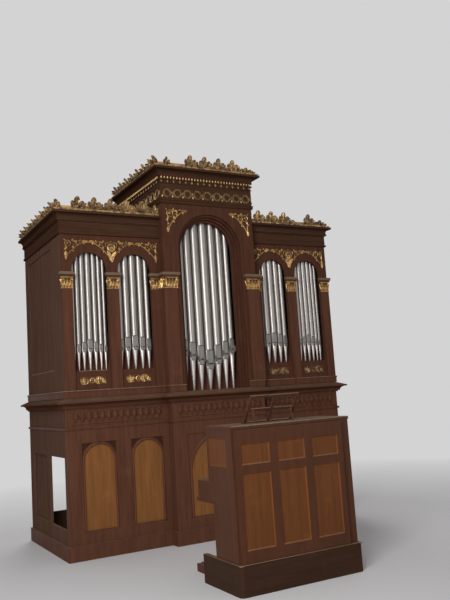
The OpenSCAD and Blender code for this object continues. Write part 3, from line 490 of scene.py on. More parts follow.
def tin(name, colour, tint=1.0, metallic=0.9, gloss=0.34):
    """Planed pipe metal with drawn streaks, finger marks and a dull bloom."""
    made, tree, shader = new_look(name)
    streak = placed_group(tree, "Wood Grain", Stretch=(30.0, 30.0, 0.8))["Streak"]
    bloom = placed_group(tree, "Wear", Scale=3.0, Amount=0.3)
    metal = colour_mix(tree, streak, tone(colour, 0.95 * tint), tone(colour, 1.04 * tint))
    put(tree, shader.inputs["Base Color"],
        colour_mix(tree, math_node(tree, "MULTIPLY", bloom["Mask"], 0.25), metal,
                   tone(colour, 0.8 * tint)))
    put(tree, shader.inputs["Roughness"], ramp(tree, bloom["Cloud"], 0.3, 0.7, gloss, gloss + 0.08))
    shader.inputs["Metallic"].default_value = metallic
    return made


def tin_with_painted_reflection(name, colour, **values):
    """Pipe metal with a painted reflection: bright where it faces the left front, and painted a dark
    tone of the boards' brown at its sides as their reflection.
    """
    made = tin(name, colour, **values)
    tree = made.node_tree
    normal = node(tree, "ShaderNodeNewGeometry").outputs["Normal"]
    # How far the surface turns from a fixed left-front direction sets where the painted reflection
    # lies.
    front = node(tree, "ShaderNodeVectorMath", {0: normal, 1: (-0.5, -0.866, 0.0)},
                 operation="DOT_PRODUCT").outputs["Value"]
    over_base(made, ramp(tree, front, 0.62, 0.86),
              tone(bpy.context.scene.organ_colours.foot_board, 0.5), swapped=True)
    return made


def cloudy(name, colour, gloss):
    """Ivory, ebony or another smooth finish with a slight cloudiness."""
    made, tree, shader = new_look(name)
    cloud = placed_group(tree, "Wear", Scale=30.0, Amount=0.3)["Cloud"]
    put(tree, shader.inputs["Base Color"],
        colour_mix(tree, ramp(tree, cloud, 0.3, 0.7), tone(colour, 0.88), tone(colour, 1.12)))
    put(tree, shader.inputs["Roughness"], ramp(tree, cloud, 0.3, 0.7, gloss, gloss + 0.12))
    return made


# Each finish: what makes it, its material's name, its colour and the values it differs in
FINISHES = {
    "case_wood": (wood, "Case Varnish", "case_wood", {}),
    "side_wood": (wood, "Side Varnish", "side_wood", dict(wear=0.15, shine=0.0)),
    # Upper wood is the case wood painted darker, a painted shade over the upper storey and the tower's
    # sides.
    "shaded_upper_wood": (wood, "Upper Varnish", "case_wood", dict(tint=0.75)),
    "pilaster_wood": (wood, "Pilaster Varnish", "case_wood", dict(tint=0.93)),
    "low_cornice": (wood, "Low Cornice Varnish", "case_wood",
                    dict(tint=0.9, stretch=LEVEL, dust=0.45, shine=0.0)),
    # Ledge dust is real dust on the ledges, and on the console top's front edge a painted highlight.
    "ledge_dust": (wood, "Ledge Dust", "dust", dict(tint=0.75, dust=1.0)),
    "cornice_wood": (wood, "Cornice Varnish", "cornice_wood",
                     dict(stretch=LEVEL, dust=0.8, shine=0.0)),
    "carved_wood": (wood, "Carved Varnish", "case_wood", {}),
    "bead_case_wood": (wood, "Arch Bead", "case_wood", dict(tint=1.25, dust=0.9)),
    # Sunk corners: the case wood painted very dark, a painted shade in the arches' sunk corners.
    "painted_shade_case_wood": (wood, "Sunk Corners", "case_wood", dict(tint=0.45, dust=0.9)),
    "ochre_panel": (wood, "Ochre Panel", "ochre", dict(contrast=0.2, dust=0.3)),
    "foot_board": (wood, "Foot Boards", "foot_board", {}),
    "abacus": (dusty_slab, "Abacus Varnish", "case_wood", {}),
    "plinth_wood": (wood, "Plinth Paint", "plinth", dict(stretch=LEVEL, dust=0.9)),
    "console_frame_wood": (wood, "Console Frame", "console_frame",
                           dict(gloss=0.36, contrast=0.16, shine=0.1)),
    "console_panel_wood": (wood, "Console Panel", "console_panel",
                           dict(contrast=0.17, gloss=0.36, dust=0.4, shine=0.1)),
    # Console beads: the panel wood made much lighter, partly dust and partly painted highlight on the
    # mouldings.
    "bead_wood_highlight": (wood, "Console Bead", "console_panel", dict(tint=1.35, dust=0.9)),
    "desk_wood": (wood, "Desk Wood", "desk", dict(stretch=(20.0, 20.0, 20.0))),
    "gilding": (gilt, "Old Gilding", "gold", {}),
    "bright_gilding": (gilt, "Bright Gilding", "gold", dict(wear=0.2, shine=0.5, tint=1.15)),
    # Relief gilding is darker and more rubbed: partly wear and partly painted shade on the right-hand
    # reliefs.
    "relief_gilding": (gilt, "Relief Gilding", "gold", dict(wear=0.65, shine=0.6, tint=0.75)),
    "dull_gilding": (gilt, "Rubbed Gilding", "gold", dict(wear=0.6, shine=0.6, tint=0.85)),
    "capital_gilding": (gilt, "Capital Gilding", "gold",
                        dict(wear=0.4, shine=0.9, scale=48.0, tint=0.98, gloss=0.22)),
    # Capital ground: mostly bare ground, painted dark as the shade in the gaps between the capital's
    # leaves.
    "shaded_core_gilding": (gilt, "Capital Ground", "gold", dict(wear=0.9, shine=0.3, tint=0.45)),
    "rail_gilding": (gilt, "Crest Rail", "gold", dict(wear=0.35, shine=0.3, tint=0.85)),
    "crest_gilding": (gilt, "Crest Gilding", "gold", dict(wear=0.62, shine=0.6, tint=0.79)),
    "ring_gilding": (gilt, "Ring Gilding", "gold", dict(wear=0.5, shine=0.5, tint=0.54)),
    "pipe_metal": (tin, "Pipe Metal", "tin", dict(tint=0.9)),
    # Lip metal is darker than the pipe metal: partly a duller finish and partly a painted shade
    # standing in for the dim reflection on the lips.
    "lip_metal": (tin, "Lip Metal", "tin", dict(tint=0.72, metallic=0.6, gloss=0.5)),
    # Foot metal is a much brighter copy of the pipe metal, a painted light, with a painted reflection
    # at its sides.
    "foot_metal": (tin_with_painted_reflection, "Foot Metal", "tin", dict(tint=1.45, metallic=0.5, gloss=0.28)),
    "key_white": (cloudy, "Key White", "ivory", dict(gloss=0.25)),
    "key_black": (cloudy, "Key Black", "ebony", dict(gloss=0.2)),
}
LOOKS = {}


def look(name):
    """Finish of this name, made once."""
    if name not in LOOKS:
        make, title, colour, values = FINISHES[name]
        LOOKS[name] = make(title, getattr(bpy.context.scene.organ_colours, colour), **values)
    return LOOKS[name]


# Values that a user may change

def colour(name, description, red, green, blue):
    """Colour property from the 0 to 255 values of a colour chart."""
    linear = [((c / 255 + 0.055) / 1.055) ** 2.4 if c > 10 else c / 255 / 12.92
              for c in (red, green, blue)]
    return FloatVectorProperty(name=name, description=description, subtype="COLOR",
                               default=linear, min=0, max=1)


def length(name, description, default):
    """Length property in metres."""
    return FloatProperty(name=name, description=description, default=default, min=0.0005,
                         unit="LENGTH")


def power(name, description, default):
    """Power of a lamp in watts."""
    return FloatProperty(name=name, description=description, default=default, min=0, unit="POWER")


class OrganColours(bpy.types.PropertyGroup):
    """Colours of the organ's finishes"""
    case_wood: colour("Case", "Red-brown varnish of the fronts", 88, 56, 42)
    side_wood: colour("Sides", "Dull varnish of the sides and the back", 91, 67, 55)
    cornice_wood: colour("Cornices", "Varnish of the cornices", 70, 47, 35)
    ochre: colour("Ochre panels", "Varnish of the lower panels", 123, 81, 46)
    gold: colour("Gold", "Gold leaf", 190, 153, 98)
    bole: colour("Ground", "Ground under the gold leaf", 62, 42, 28)
    tin: colour("Pipe metal", "Metal of the pipes", 156, 151, 146)
    plinth: colour("Console plinth", "Paint of the console plinth", 56, 38, 28)
    console_frame: colour("Console frame", "Varnish of the console frame", 73, 43, 28)
    console_panel: colour("Console panels", "Varnish of the console panels", 93, 54, 27)
    desk: colour("Music desk", "Bare wood of the music desk", 84, 56, 42)
    foot_board: colour("Foot boards", "Boards behind the pipe feet", 122, 74, 63)
    dust: colour("Dust", "Dust on ledges", 140, 120, 100)
    ivory: colour("Ivory", "Natural keys and knobs", 224, 214, 190)
    ebony: colour("Ebony", "Sharp keys", 30, 26, 24)
    floor: colour("Floor", "Floor under the organ", 228, 227, 228)


class OrganSizes(bpy.types.PropertyGroup):
    """Sizes of the pieces that this scene adds"""
    leaf_h: length("Crest leaf", "Height of a cresting leaf", 0.135)
    leaf_pitch: length("Crest pitch", "Distance from leaf to leaf in the cresting", 0.188)
    bead_pitch: length("Bead pitch", "Distance from bead to bead", 0.039)
    drop_r: length("Drop", "Radius of the drops between the rings", 0.0105)
    lobe_pitch: length("Lobe pitch", "Distance from lobe to lobe in the carved frieze", 0.072)
    key_gap: length("Key gap", "Gap between two natural keys", 0.0012)
    lip_flat: FloatProperty(name="Lip", description="Distance of a pipe's flat lips from its axis, "
                            "as a share of its radius", default=0.6, min=0.4, max=0.9)
    pipe_sides: IntProperty(name="Pipe sides", description="Facets round a pipe", default=32,
                            min=16, max=64)


class OrganLight(bpy.types.PropertyGroup):
    """Strength of the studio light"""
    key: power("Key lamp", "Power of the big front lamp", 203)
    fill: power("Fill lamp", "Power of the fill lamp", 22.5)
    back: power("Back lamp", "Power of the lamp behind the case", 117)
    world: FloatProperty(name="World", description="Strength of the even light", default=0.37,
                         min=0)


# Masters that several ornaments use

ACANTHUS = ((0.0, 0.30, 0.0), (0.12, 0.62, 0.004), (0.24, 0.42, 0.006), (0.36, 0.92, 0.010),
            (0.47, 0.56, 0.012), (0.60, 0.86, 0.017), (0.70, 0.48, 0.021), (0.82, 0.56, 0.028),
            (0.92, 0.30, 0.034), (1.0, 0.05, 0.037))
ROUND_LOBE = ((0.0, 0.35, 0.0), (0.3, 0.55, 0.003), (0.55, 0.95, 0.008), (0.75, 1.0, 0.015),
              (0.9, 0.75, 0.024), (1.0, 0.25, 0.032))
PLAIN_LEAF = ((0.0, 0.45, 0.0), (0.25, 0.95, 0.003), (0.55, 0.85, 0.006), (0.8, 0.5, 0.010),
              (1.0, 0.06, 0.014))


def acanthus(name, height, half, bend=1.0, thickness=0.005, smooth=1):
    """Lobed leaf of a height and a half width."""
    rows = [(along, share * half, lean * bend * height / 0.1) for along, share, lean in ACANTHUS]
    return leaf(name, height, rows, thickness=thickness, smooth=smooth, rib=0.2)


def plain_leaf(name, height, half, bend=1.0, thickness=0.004, smooth=1):
    """Leaf with a plain edge."""
    rows = [(along, share * half, lean * bend * height / 0.05) for along, share, lean in PLAIN_LEAF]
    return leaf(name, height, rows, thickness=thickness, smooth=smooth, rib=0.25)


def bead(name, radius, sides=10, tall=1.0):
    """Ball with a softly flattened top and bottom."""
    steps = 6
    rings = [(-radius * tall * math.cos(math.pi * k / steps),
              max(radius * math.sin(math.pi * k / steps), radius * 0.15)) for k in range(steps + 1)]
    return turned(name, rings, sides)


def palmette(name, height):
    """Cresting ornament: a broad middle lobe, two side lobes and two low ones with curls."""
    parts = []
    for angle, tall, half in ((0, 0.96, 0.24), (43, 0.74, 0.20), (-43, 0.74, 0.20),
                              (84, 0.55, 0.15), (-84, 0.55, 0.15)):
        rows = [(along, share * height * half, bend * height / 0.13)
                for along, share, bend in ROUND_LOBE]
        one = leaf("lobe", height * tall, rows, thickness=0.006, smooth=0, rib=0.3)
        low = 0.004 if abs(angle) < 80 else 0.020
        parts.append(moved(one, at(z=low, roll=math.radians(angle))))
    lines = [[(side * x, z, r) for x, z, r in scroll(0.054, 0.036, 0.015, 200, 1.2, 0.0045)]
             for side in SIDES]
    lines += [bow((side * 0.008, 0.012), (side * 0.02, 0.03), (side * 0.03, 0.05),
                  (side * 0.036, 0.062), 0.005, 0.003, 5) for side in SIDES]
    parts.append(moved(carved_lines("scrolls", lines, round_steps=0), at(y=-0.008)))
    parts.append(moved(bead("boss", 0.014, 8, 0.9), at(y=-0.010, z=0.026)))
    return joined(parts, name)


def bud(name, height):
    """Small three-lobed bud that stands between two cresting ornaments."""
    parts = []
    for angle, tall in ((0, 1.0), (55, 0.72), (-55, 0.72)):
        rows = [(along, share * height * 0.24, bend * height / 0.13)
                for along, share, bend in ROUND_LOBE]
        one = leaf("lobe", height * tall, rows, thickness=0.005, smooth=0, rib=0.3)
        parts.append(moved(one, at(z=0.002, roll=math.radians(angle))))
    return joined(parts, name)


def leafy(points, half, tall, step=2, first=1):
    """Places of small leaves that stand off a stem on both sides in turn."""
    places = []
    for turn, k in enumerate(range(first, len(points) - 1, step)):
        (x, z, _), (next_x, next_z, _) = points[k], points[k + 1]
        way = 1 if turn % 2 else -1
        angle = math.atan2(next_x - x, next_z - z) + way * math.radians(58)
        size = tall * (1 - 0.35 * k / len(points))
        places.append(at(x, -0.003, z, roll=angle, scale=(size * half, size, size)))
    return places


def corner_scroll(name, width, height, thick=0.005):
    """Carved corner: a ring with a scroll in it, leafy stems along the edges and a strong arc.
    It fills a triangle right of and below the origin."""
    w, h = width, height
    size = min(w, h)
    arc = bow((0.97 * w, -0.05 * h), (0.66 * w, -0.20 * h), (0.30 * w, -0.55 * h),
              (0.10 * w, -0.95 * h), thick * 0.9, thick * 1.1, 14)
    arc = [(x, z, r * (1 + 0.5 * math.sin(math.pi * k / 14))) for k, (x, z, r) in enumerate(arc)]
    top = bow((0.30 * w, -0.04 * h), (0.48 * w, 0.01 * h), (0.66 * w, -0.07 * h),
              (0.96 * w, -0.03 * h), thick * 0.8, thick * 0.5, 10)
    down = bow((0.05 * w, -0.32 * h), (0.01 * w, -0.46 * h), (0.08 * w, -0.62 * h),
               (0.05 * w, -0.94 * h), thick * 0.8, thick * 0.5, 10)
    middle = (0.19 * size, -0.20 * size)
    lines = [arc, top, down,
             scroll(*middle, 0.165 * size, 0, 1.0, thick * 1.25, 1.0),
             scroll(*middle, 0.09 * size, 60, 1.0, thick),
             scroll(0.52 * w, -0.16 * h, 0.08 * size, 150, -1.1, thick * 0.9),
             bow((0.36 * w, -0.34 * h), (0.42 * w, -0.30 * h), (0.44 * w, -0.26 * h),
                 (0.46 * w, -0.22 * h), thick * 0.8, thick * 0.6, 4)]
    parts = [moved(carved_lines("stems", lines, round_steps=0), at(y=-0.004))]
    tip = plain_leaf("tip", 1.0, 0.30, bend=0.1, smooth=0, thickness=0.12)
    places = leafy(arc, 1.0, 0.15 * size, 4) + leafy(top, 1.0, 0.13 * size, 3)
    places += leafy(down, 1.0, 0.13 * size, 3)
    for x, z, angle, tall in ((0.90, -0.05, 88, 0.24), (0.84, -0.06, 60, 0.16),
                              (0.84, -0.06, 118, 0.16), (0.06, -0.90, 184, 0.26),
                              (0.36, -0.36, 135, 0.20), (0.03, -0.03, -45, 0.10),
                              (0.38, -0.10, 70, 0.16), (0.09, -0.42, 205, 0.16)):
        places.append(at(x * w, -0.004, z * h, roll=math.radians(angle),
                         scale=(size * tall,) * 3))
    parts.append(copies(tip, places, "tips"))
    parts.append(moved(bead("eye", size * 0.045, 8, 0.8), at(middle[0], -0.006, middle[1])))
    return joined(parts, name)


# One operator for each piece or group of like pieces

class OrganOperator(bpy.types.Operator):
    """Base of the organ's operators"""
    bl_options = {"REGISTER"}

    def execute(self, context):
        self.build(context.scene.organ_sizes)
        return {"FINISHED"}


# Strength of the backdrop, and where the floor begins and ends to fade into it
BACKDROP = 0.85
FADE_START, FADE_END = 3.0, 8.0
LAMP_SPREAD = math.radians(120)     # keeps the lamps from burning out the floor beside them


def backdrop_rays(tree):
    """One for rays that show the plain backdrop: straight, mirrored or passed through."""
    path = node(tree, "ShaderNodeLightPath").outputs
    return math_node(tree, "MAXIMUM", path["Is Camera Ray"], math_node(
        tree, "MAXIMUM", path["Is Glossy Ray"], path["Is Transmission Ray"]))


class ORGAN_OT_stage(OrganOperator):
    """Floor, even light, two big lamps and the camera at the photograph's angle"""
    bl_idname = "organ.stage"
    bl_label = "Stage"

    def build(self, sizes):
        scene = bpy.context.scene
        colours, light = scene.organ_colours, scene.organ_light
        put_down()
        bpy.ops.mesh.primitive_plane_add(size=60, location=(0, 0, -0.001))
        floor = shaped(bpy.context.object, "studio_floor")
        pale, tree, shader = new_look("Studio Floor")
        shader.inputs["Base Color"].default_value = tone(colours.floor, 1)
        shader.inputs["Roughness"].default_value = 0.8
        place = node(tree, "ShaderNodeTexCoord").outputs["Object"]
        away = node(tree, "ShaderNodeVectorMath", {0: place}, operation="LENGTH").outputs["Value"]
        fade = math_node(tree, "MULTIPLY", ramp(tree, away, FADE_START, FADE_END),
                         backdrop_rays(tree))
        glow = node(tree, "ShaderNodeEmission", {"Color": tone(colours.floor, 1),
                                                 "Strength": BACKDROP})
        both = node(tree, "ShaderNodeMixShader", {0: fade, 1: shader.outputs[0],
                                                  2: glow.outputs[0]})
        put(tree, tree.nodes["Material Output"].inputs["Surface"], both.outputs[0])
        floor.data.materials.append(pale)
        world = scene.world or bpy.data.worlds.new("World")
        scene.world = world
        world.use_nodes = True
        tree = world.node_tree
        back = tree.nodes["Background"]
        back.inputs["Color"].default_value = tone(colours.floor, 1.0)
        put(tree, back.inputs["Strength"],
            ramp(tree, backdrop_rays(tree), 0.0, 1.0, light.world, BACKDROP))
        for name, place, size, power in (("back_lamp", (2.5, 8.5, 4.5), (5.0, 5.0), light.back),
                                         ("key_lamp", (-5.0, -5.6, 3.4), (2.8, 6.0), light.key),
                                         ("fill_lamp", (4.0, -7.0, 3.0), (4.0, 4.0), light.fill)):
            bpy.ops.object.light_add(type="AREA", location=place)
            lamp = bpy.context.object
            lamp.name = name
            lamp.data.shape = "RECTANGLE"
            lamp.data.size, lamp.data.size_y = size
            lamp.data.energy = power
            lamp.data.spread = LAMP_SPREAD
            aim = Vector((0, 0, 2.0)) - Vector(place)
            lamp.rotation_euler = aim.to_track_quat("-Z", "Y").to_euler()
        self.camera(scene)
        scene.view_settings.view_transform = "Standard"

    def camera(self, scene):
        """Camera where the photograph was taken from, with its slight roll."""
        yaw, pitch, roll = (math.radians(a) for a in (29.214, 7.414, 3.76))
        right = Vector((math.cos(yaw), -math.sin(yaw), 0))
        up = Vector((-math.sin(yaw) * math.sin(pitch), -math.cos(yaw) * math.sin(pitch),
                     math.cos(pitch)))
        side = right * math.cos(roll) - up * math.sin(roll)
        top = up * math.cos(roll) + right * math.sin(roll)
        back = side.cross(top)
        bpy.ops.object.camera_add()
        camera = bpy.context.object
        camera.name = "photo_camera"
        camera.data.sensor_width = 36
        camera.data.lens = 42.4
        camera.matrix_world = (Matrix.Translation((-3.847, -6.9205, 1.6))
                               @ Matrix((side, top, back)).transposed().to_4x4())
        scene.camera = camera


NODE_LOOKS = {"foot_backboards": "foot_board", "abacus_slabs": "abacus",
              "crest_fillets": "dull_gilding", "upper_side_fronts": "shaded_upper_wood",
              "upper_centre_front": "shaded_upper_wood", "tower_sides": "shaded_upper_wood",
              "mid_cornice": "low_cornice",
              "centre_arch_steps": "shaded_upper_wood", "pilasters": "pilaster_wood"}


class ORGAN_OT_finishes(OrganOperator):
    """Varnish, paint, gilding and metal on every piece of the frame"""
    bl_idname = "organ.finishes"
    bl_label = "Finishes"

    def build(self, sizes):
        for part in frame["record"]["subparts"]:
            obj = frame["nodes"][part["node"]]
            finish = look(NODE_LOOKS.get(part["node"], part["material_slot"]))
            if not obj.material_slots:
                obj.data.materials.append(finish)
            for slot in obj.material_slots:
                slot.material = finish


def leaf_places(low, high, pitch):
    """Places along a stretch, spread round its middle."""
    count = math.floor((high - low) / pitch)
    start = (low + high - (count - 1) * pitch) / 2
    return [start + k * pitch for k in range(count)]


class ORGAN_OT_cresting(OrganOperator):
    """Gilded palmettes and running scrolls on the cornices; the lost ones stay lost"""
    bl_idname = "organ.cresting"
    bl_label = "Cresting"

    def build(self, sizes):
        side_low, side_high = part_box("crest_fillets")
        side_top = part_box("side_roofs")[1][2] + 0.022
        mid_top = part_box("middle_roofs")[1][2] + 0.022
        edge = side_high[0]
        mid_edge = HALF_MIDDLE + 0.082
        mid_front = side_low[1]
        side_front = FRONT - 0.065
        pitch = sizes.leaf_pitch
        front = side_front + 0.012
        whole = [at(-edge + 0.067 + k * pitch, front, side_top) for k in range(1, 6)]
        whole += [at(edge - 0.147 - k * pitch, front, side_top) for k in (1, 3, 4, 5)]
        places = [x - 0.05 for x in leaf_places(-mid_edge, mid_edge, pitch)]
        whole += [at(places[k], mid_front + 0.012, mid_top) for k in (2, 3, 4, 5)]
        small = [at(edge - 0.150, front, side_top, scale=(0.8, 0.8, 0.5)),
                 at(edge - 0.095, front, side_top, scale=(0.5, 0.8, 0.32)),
                 at(places[0] + 0.075, mid_front + 0.012, mid_top, scale=(0.55, 0.8, 0.66)),
                 at(places[6], mid_front + 0.012, mid_top, scale=(0.8, 0.8, 0.45)),
                 at(places[6] + 0.06, mid_front + 0.012, mid_top, scale=(0.5, 0.8, 0.3)),
                 at(-HALF_MIDDLE - 0.055, front, side_top, scale=(0.6, 0.8, 0.75))]
        for side in SIDES:
            turn = side * math.pi / 2
            for y in leaf_places(side_front + 0.016, side_high[1], pitch):
                whole.append(at(side * (edge - 0.015), y, side_top, turn, (1, 1.3, 0.66)))
            for y in leaf_places(mid_front + 0.016, TOWER_BACK - 0.014, pitch):
                whole.append(at(side * (mid_edge - 0.015), y, mid_top, turn, (1, 1.3, 0.70)))
        corner = [at(-edge + 0.035, side_front + 0.035, side_top, -math.pi / 4, (0.75, 0.8, 0.72)),
                  at(-mid_edge + 0.020, mid_front + 0.050, mid_top, -1.2, (0.8, 1.4, 0.75))]
        master = palmette("palmette", sizes.leaf_h * 0.97)
        leaves = copies(master, whole + small + corner, "leaves")
        link = joined([bud("bud", 0.064), carved_lines("run", [
            bow((side * 0.090, 0.010), (side * 0.066, 0.056), (side * 0.028, 0.052),
                (side * 0.006, 0.014), 0.009, 0.007, 6) for side in SIDES], round_steps=0)],
            "link")
        between = []
        for place in whole:
            between.append(place @ at(pitch / 2, -0.002))
        between = [p for p in between if self.on_cornice(p, edge, mid_edge, side_top)]
        links = copies(link, between, "links")
        settle(joined([leaves, links], "cresting_carving"), "crest_gilding", "gilding",
               "crest_leaves")

        behind = 0.017
        self.rails("side_crest_rail", edge, front + behind, CASE_BACK - 0.02, side_top,
                   HALF_MIDDLE + 0.03)
        self.rails("tower_crest_rail", mid_edge, mid_front + 0.012 + behind, TOWER_BACK - 0.02,
                   mid_top, 0.0)

    def rails(self, name, edge, front, back, top, inner):
        """Low gilded rail close behind the leaves, along the front and both sides."""
        parts = []
        thick, tall = 0.010, 0.034
        outer = edge - 0.015 - 0.017
        for side in SIDES:
            ends = sorted((side * inner, side * outer))
            parts.append(block("rail", (ends[0], front, top - 0.001),
                               (ends[1], front + thick, top + tall), 0.004))
            ends = sorted((side * (outer - thick), side * outer))
            parts.append(block("rail", (ends[0], front + thick, top - 0.001),
                               (ends[1], back, top + tall), 0.004))
        settle(joined(parts, name), "rail_gilding", "gilding")

    def on_cornice(self, place, edge, mid_edge, side_top):
        """True where a link between two leaves still has the cornice under it."""
        x, y, z = place.translation
        if z < side_top + 0.01:
            return HALF_MIDDLE + 0.1 < abs(x) < edge - 0.1 or FRONT < y < CASE_BACK - 0.12
        return abs(x) < mid_edge - 0.1 or MIDDLE < y < TOWER_BACK - 0.12


class ORGAN_OT_rings(OrganOperator):
    """Gilded rings of the middle frieze, with a drop and a small leaf between them"""
    bl_idname = "organ.rings"
    bl_label = "Ring frieze"

    def build(self, sizes):
        low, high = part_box("ring_frieze")
        middle_z = (low[2] + high[2]) / 2
        pitch = 0.13
        put_down()
        bpy.ops.mesh.primitive_torus_add(major_segments=28, minor_segments=8, major_radius=0.048,
                                         minor_radius=0.0045, rotation=(math.pi / 2, 0, 0))
        ring = shaped(bpy.context.object, "ring")
        edit(ring)
        bpy.ops.transform.resize(value=(1, 0.9, 1))
        put_down()
        bpy.ops.mesh.primitive_torus_add(major_segments=24, minor_segments=6, major_radius=0.036,
                                         minor_radius=0.0030, rotation=(math.pi / 2, 0, 0))
        inner = shaped(bpy.context.object, "inner")
        drop = moved(bead("drop", sizes.drop_r, 8, 1.35), at(-0.062, -0.001, -0.040))
        tips = copies(plain_leaf("tip", 0.022, 0.007, smooth=0),
                      [at(0.065, 0.003, 0.0, roll=math.radians(a)) for a in (0, 180)], "tips")
        unit = joined([ring, inner, tips], "unit")
        front = [at(k * pitch, MIDDLE - 0.012, middle_z) for k in range(-4, 5)]
        for side in SIDES:
            front += [at(side * (HALF_MIDDLE + 0.012), MIDDLE + pitch * (k + 0.5), middle_z,
                         side * math.pi / 2) for k in range(10)]
        settle(copies(unit, front, "ring_carving"), "ring_gilding", "gilding", "ring_frieze")
        settle(copies(drop, front, "ring_drops"), "bright_gilding", "gilding")


class ORGAN_OT_beads(OrganOperator):
    """Row of gilded beads over a row of small hanging leaves"""
    bl_idname = "organ.beads"
    bl_label = "Bead and leaf strip"

    def build(self, sizes):
        low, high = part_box("bead_strip")
        pitch = sizes.bead_pitch
        bead_z = high[2] - 0.022
        one = bead("bead", 0.0098, 8, 1.6)
        hang = moved(plain_leaf("hang", 0.034, 0.013, bend=0.8, smooth=0),
                     at(roll=math.pi, z=0.0))
        beads, leaves = [], []
        count = math.floor((high[0] - low[0] - 0.02) / pitch / 2)
        for k in range(-count, count + 1):
            beads.append(at(k * pitch, low[1] + 0.0105, bead_z))
            if k % 2:
                leaves.append(at(k * pitch, low[1] + 0.016, bead_z - 0.028))
        for side in SIDES:
            for k in range(math.floor((high[1] - low[1] - 0.03) / pitch)):
                y = low[1] + 0.014 + pitch * (k + 1)
                beads.append(at(side * (high[0] - 0.0105), y, bead_z))
                if k % 2:
                    leaves.append(at(side * (high[0] - 0.016), y, bead_z - 0.028,
                                     side * math.pi / 2))
        settle(copies(one, beads, "bead_carving"), "bright_gilding", "gilding",
               "bead_strip")
        settle(copies(hang, leaves, "bead_leaves"), "ring_gilding", "gilding")
        rails = []
        for z, tall, out in ((high[2] - 0.010, 0.010, 0.004), (bead_z - 0.030, 0.016, 0.008),
                             (low[2], 0.008, 0.012)):
            rails.append(block("rail", (low[0] + out, low[1] + out, z),
                               (high[0] - out, low[1] + 0.022, z + tall), 0.002))
            for side in SIDES:
                x = sorted((side * (high[0] - out), side * (high[0] - 0.022)))
                rails.append(block("rail", (x[0], low[1] + 0.022, z), (x[1], high[1], z + tall),
                                   0.002))
        settle(joined(rails, "bead_rails"), "cornice_wood", "cornice_wood")


class ORGAN_OT_spandrels(OrganOperator):
    """Carved scroll work over the side arches and in the corners of the middle arch"""
    bl_idname = "organ.spandrels"
    bl_label = "Spandrel scrolls"

    def build(self, sizes):
        low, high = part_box("spandrel_ornament")
        mid_top = high[2]
        side_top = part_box("side_entablatures")[0][2] - 0.062
        parts = []
        corner = corner_scroll("corner", 0.232, 0.232)
        places = [at(side * (HALF_MIDDLE - 0.060), MIDDLE - 0.002, mid_top, scale=(-side, 1, 1))
                  for side in SIDES]
        parts.append(copies(corner, places, "middle corners"))
        wing = corner_scroll("wing", 0.238, 0.19, 0.004)
        middle_x = 1.175
        ends = (HALF_MIDDLE + 0.034, middle_x, HALF - 0.050)
        places = []
        for side in SIDES:
            for x, way in ((ends[0], 1), (middle_x, 1), (middle_x, -1), (ends[2], -1)):
                places.append(at(side * x, FRONT - 0.002, side_top, scale=(side * way, 1, 1)))
        parts.append(copies(wing, places, "side corners"))
        tip = plain_leaf("pendant", 0.085, 0.02, bend=0.7)
        drops = [at(side * x, FRONT - 0.004, side_top + z, roll=math.pi) for side in SIDES
                 for x, z in ((ends[0] + 0.012, -0.125), (middle_x, -0.150),
                              (ends[2] - 0.012, -0.125))]
        parts.append(copies(tip, drops, "pendants"))
        ring = carved_lines("ring", [scroll(0, -0.072, 0.040, 90, 1.0, 0.0085, 1.0),
                                     scroll(0, -0.072, 0.020, 200, 1.1, 0.006)])
        fan = plain_leaf("fan", 0.095, 0.022, bend=0.5, thickness=0.006)
        fan = copies(fan, [at(z=-0.185, roll=math.radians(a)) for a in (-34, 34)], "fan")
        cluster = joined([ring, fan, moved(bead("boss", 0.010, 8, 0.9), at(z=-0.072))], "cluster")
        parts.append(copies(cluster, [at(side * middle_x, FRONT - 0.008, side_top)
                                      for side in SIDES], "clusters"))
        blob = bead("blob", 0.0058, 8, 0.9)
        garland = [at(side * (x + 0.017 * (k - 5.5)), FRONT - 0.004,
                      side_top - 0.018 - 0.005 * (k % 2))
                   for side in SIDES for x in (OPENING_X[0], OPENING_X[1]) for k in range(12)]
        parts.append(copies(blob, garland, "garlands"))
        settle(joined(parts, "spandrel_carving"), "gilding", "gilding", "spandrel_ornament")


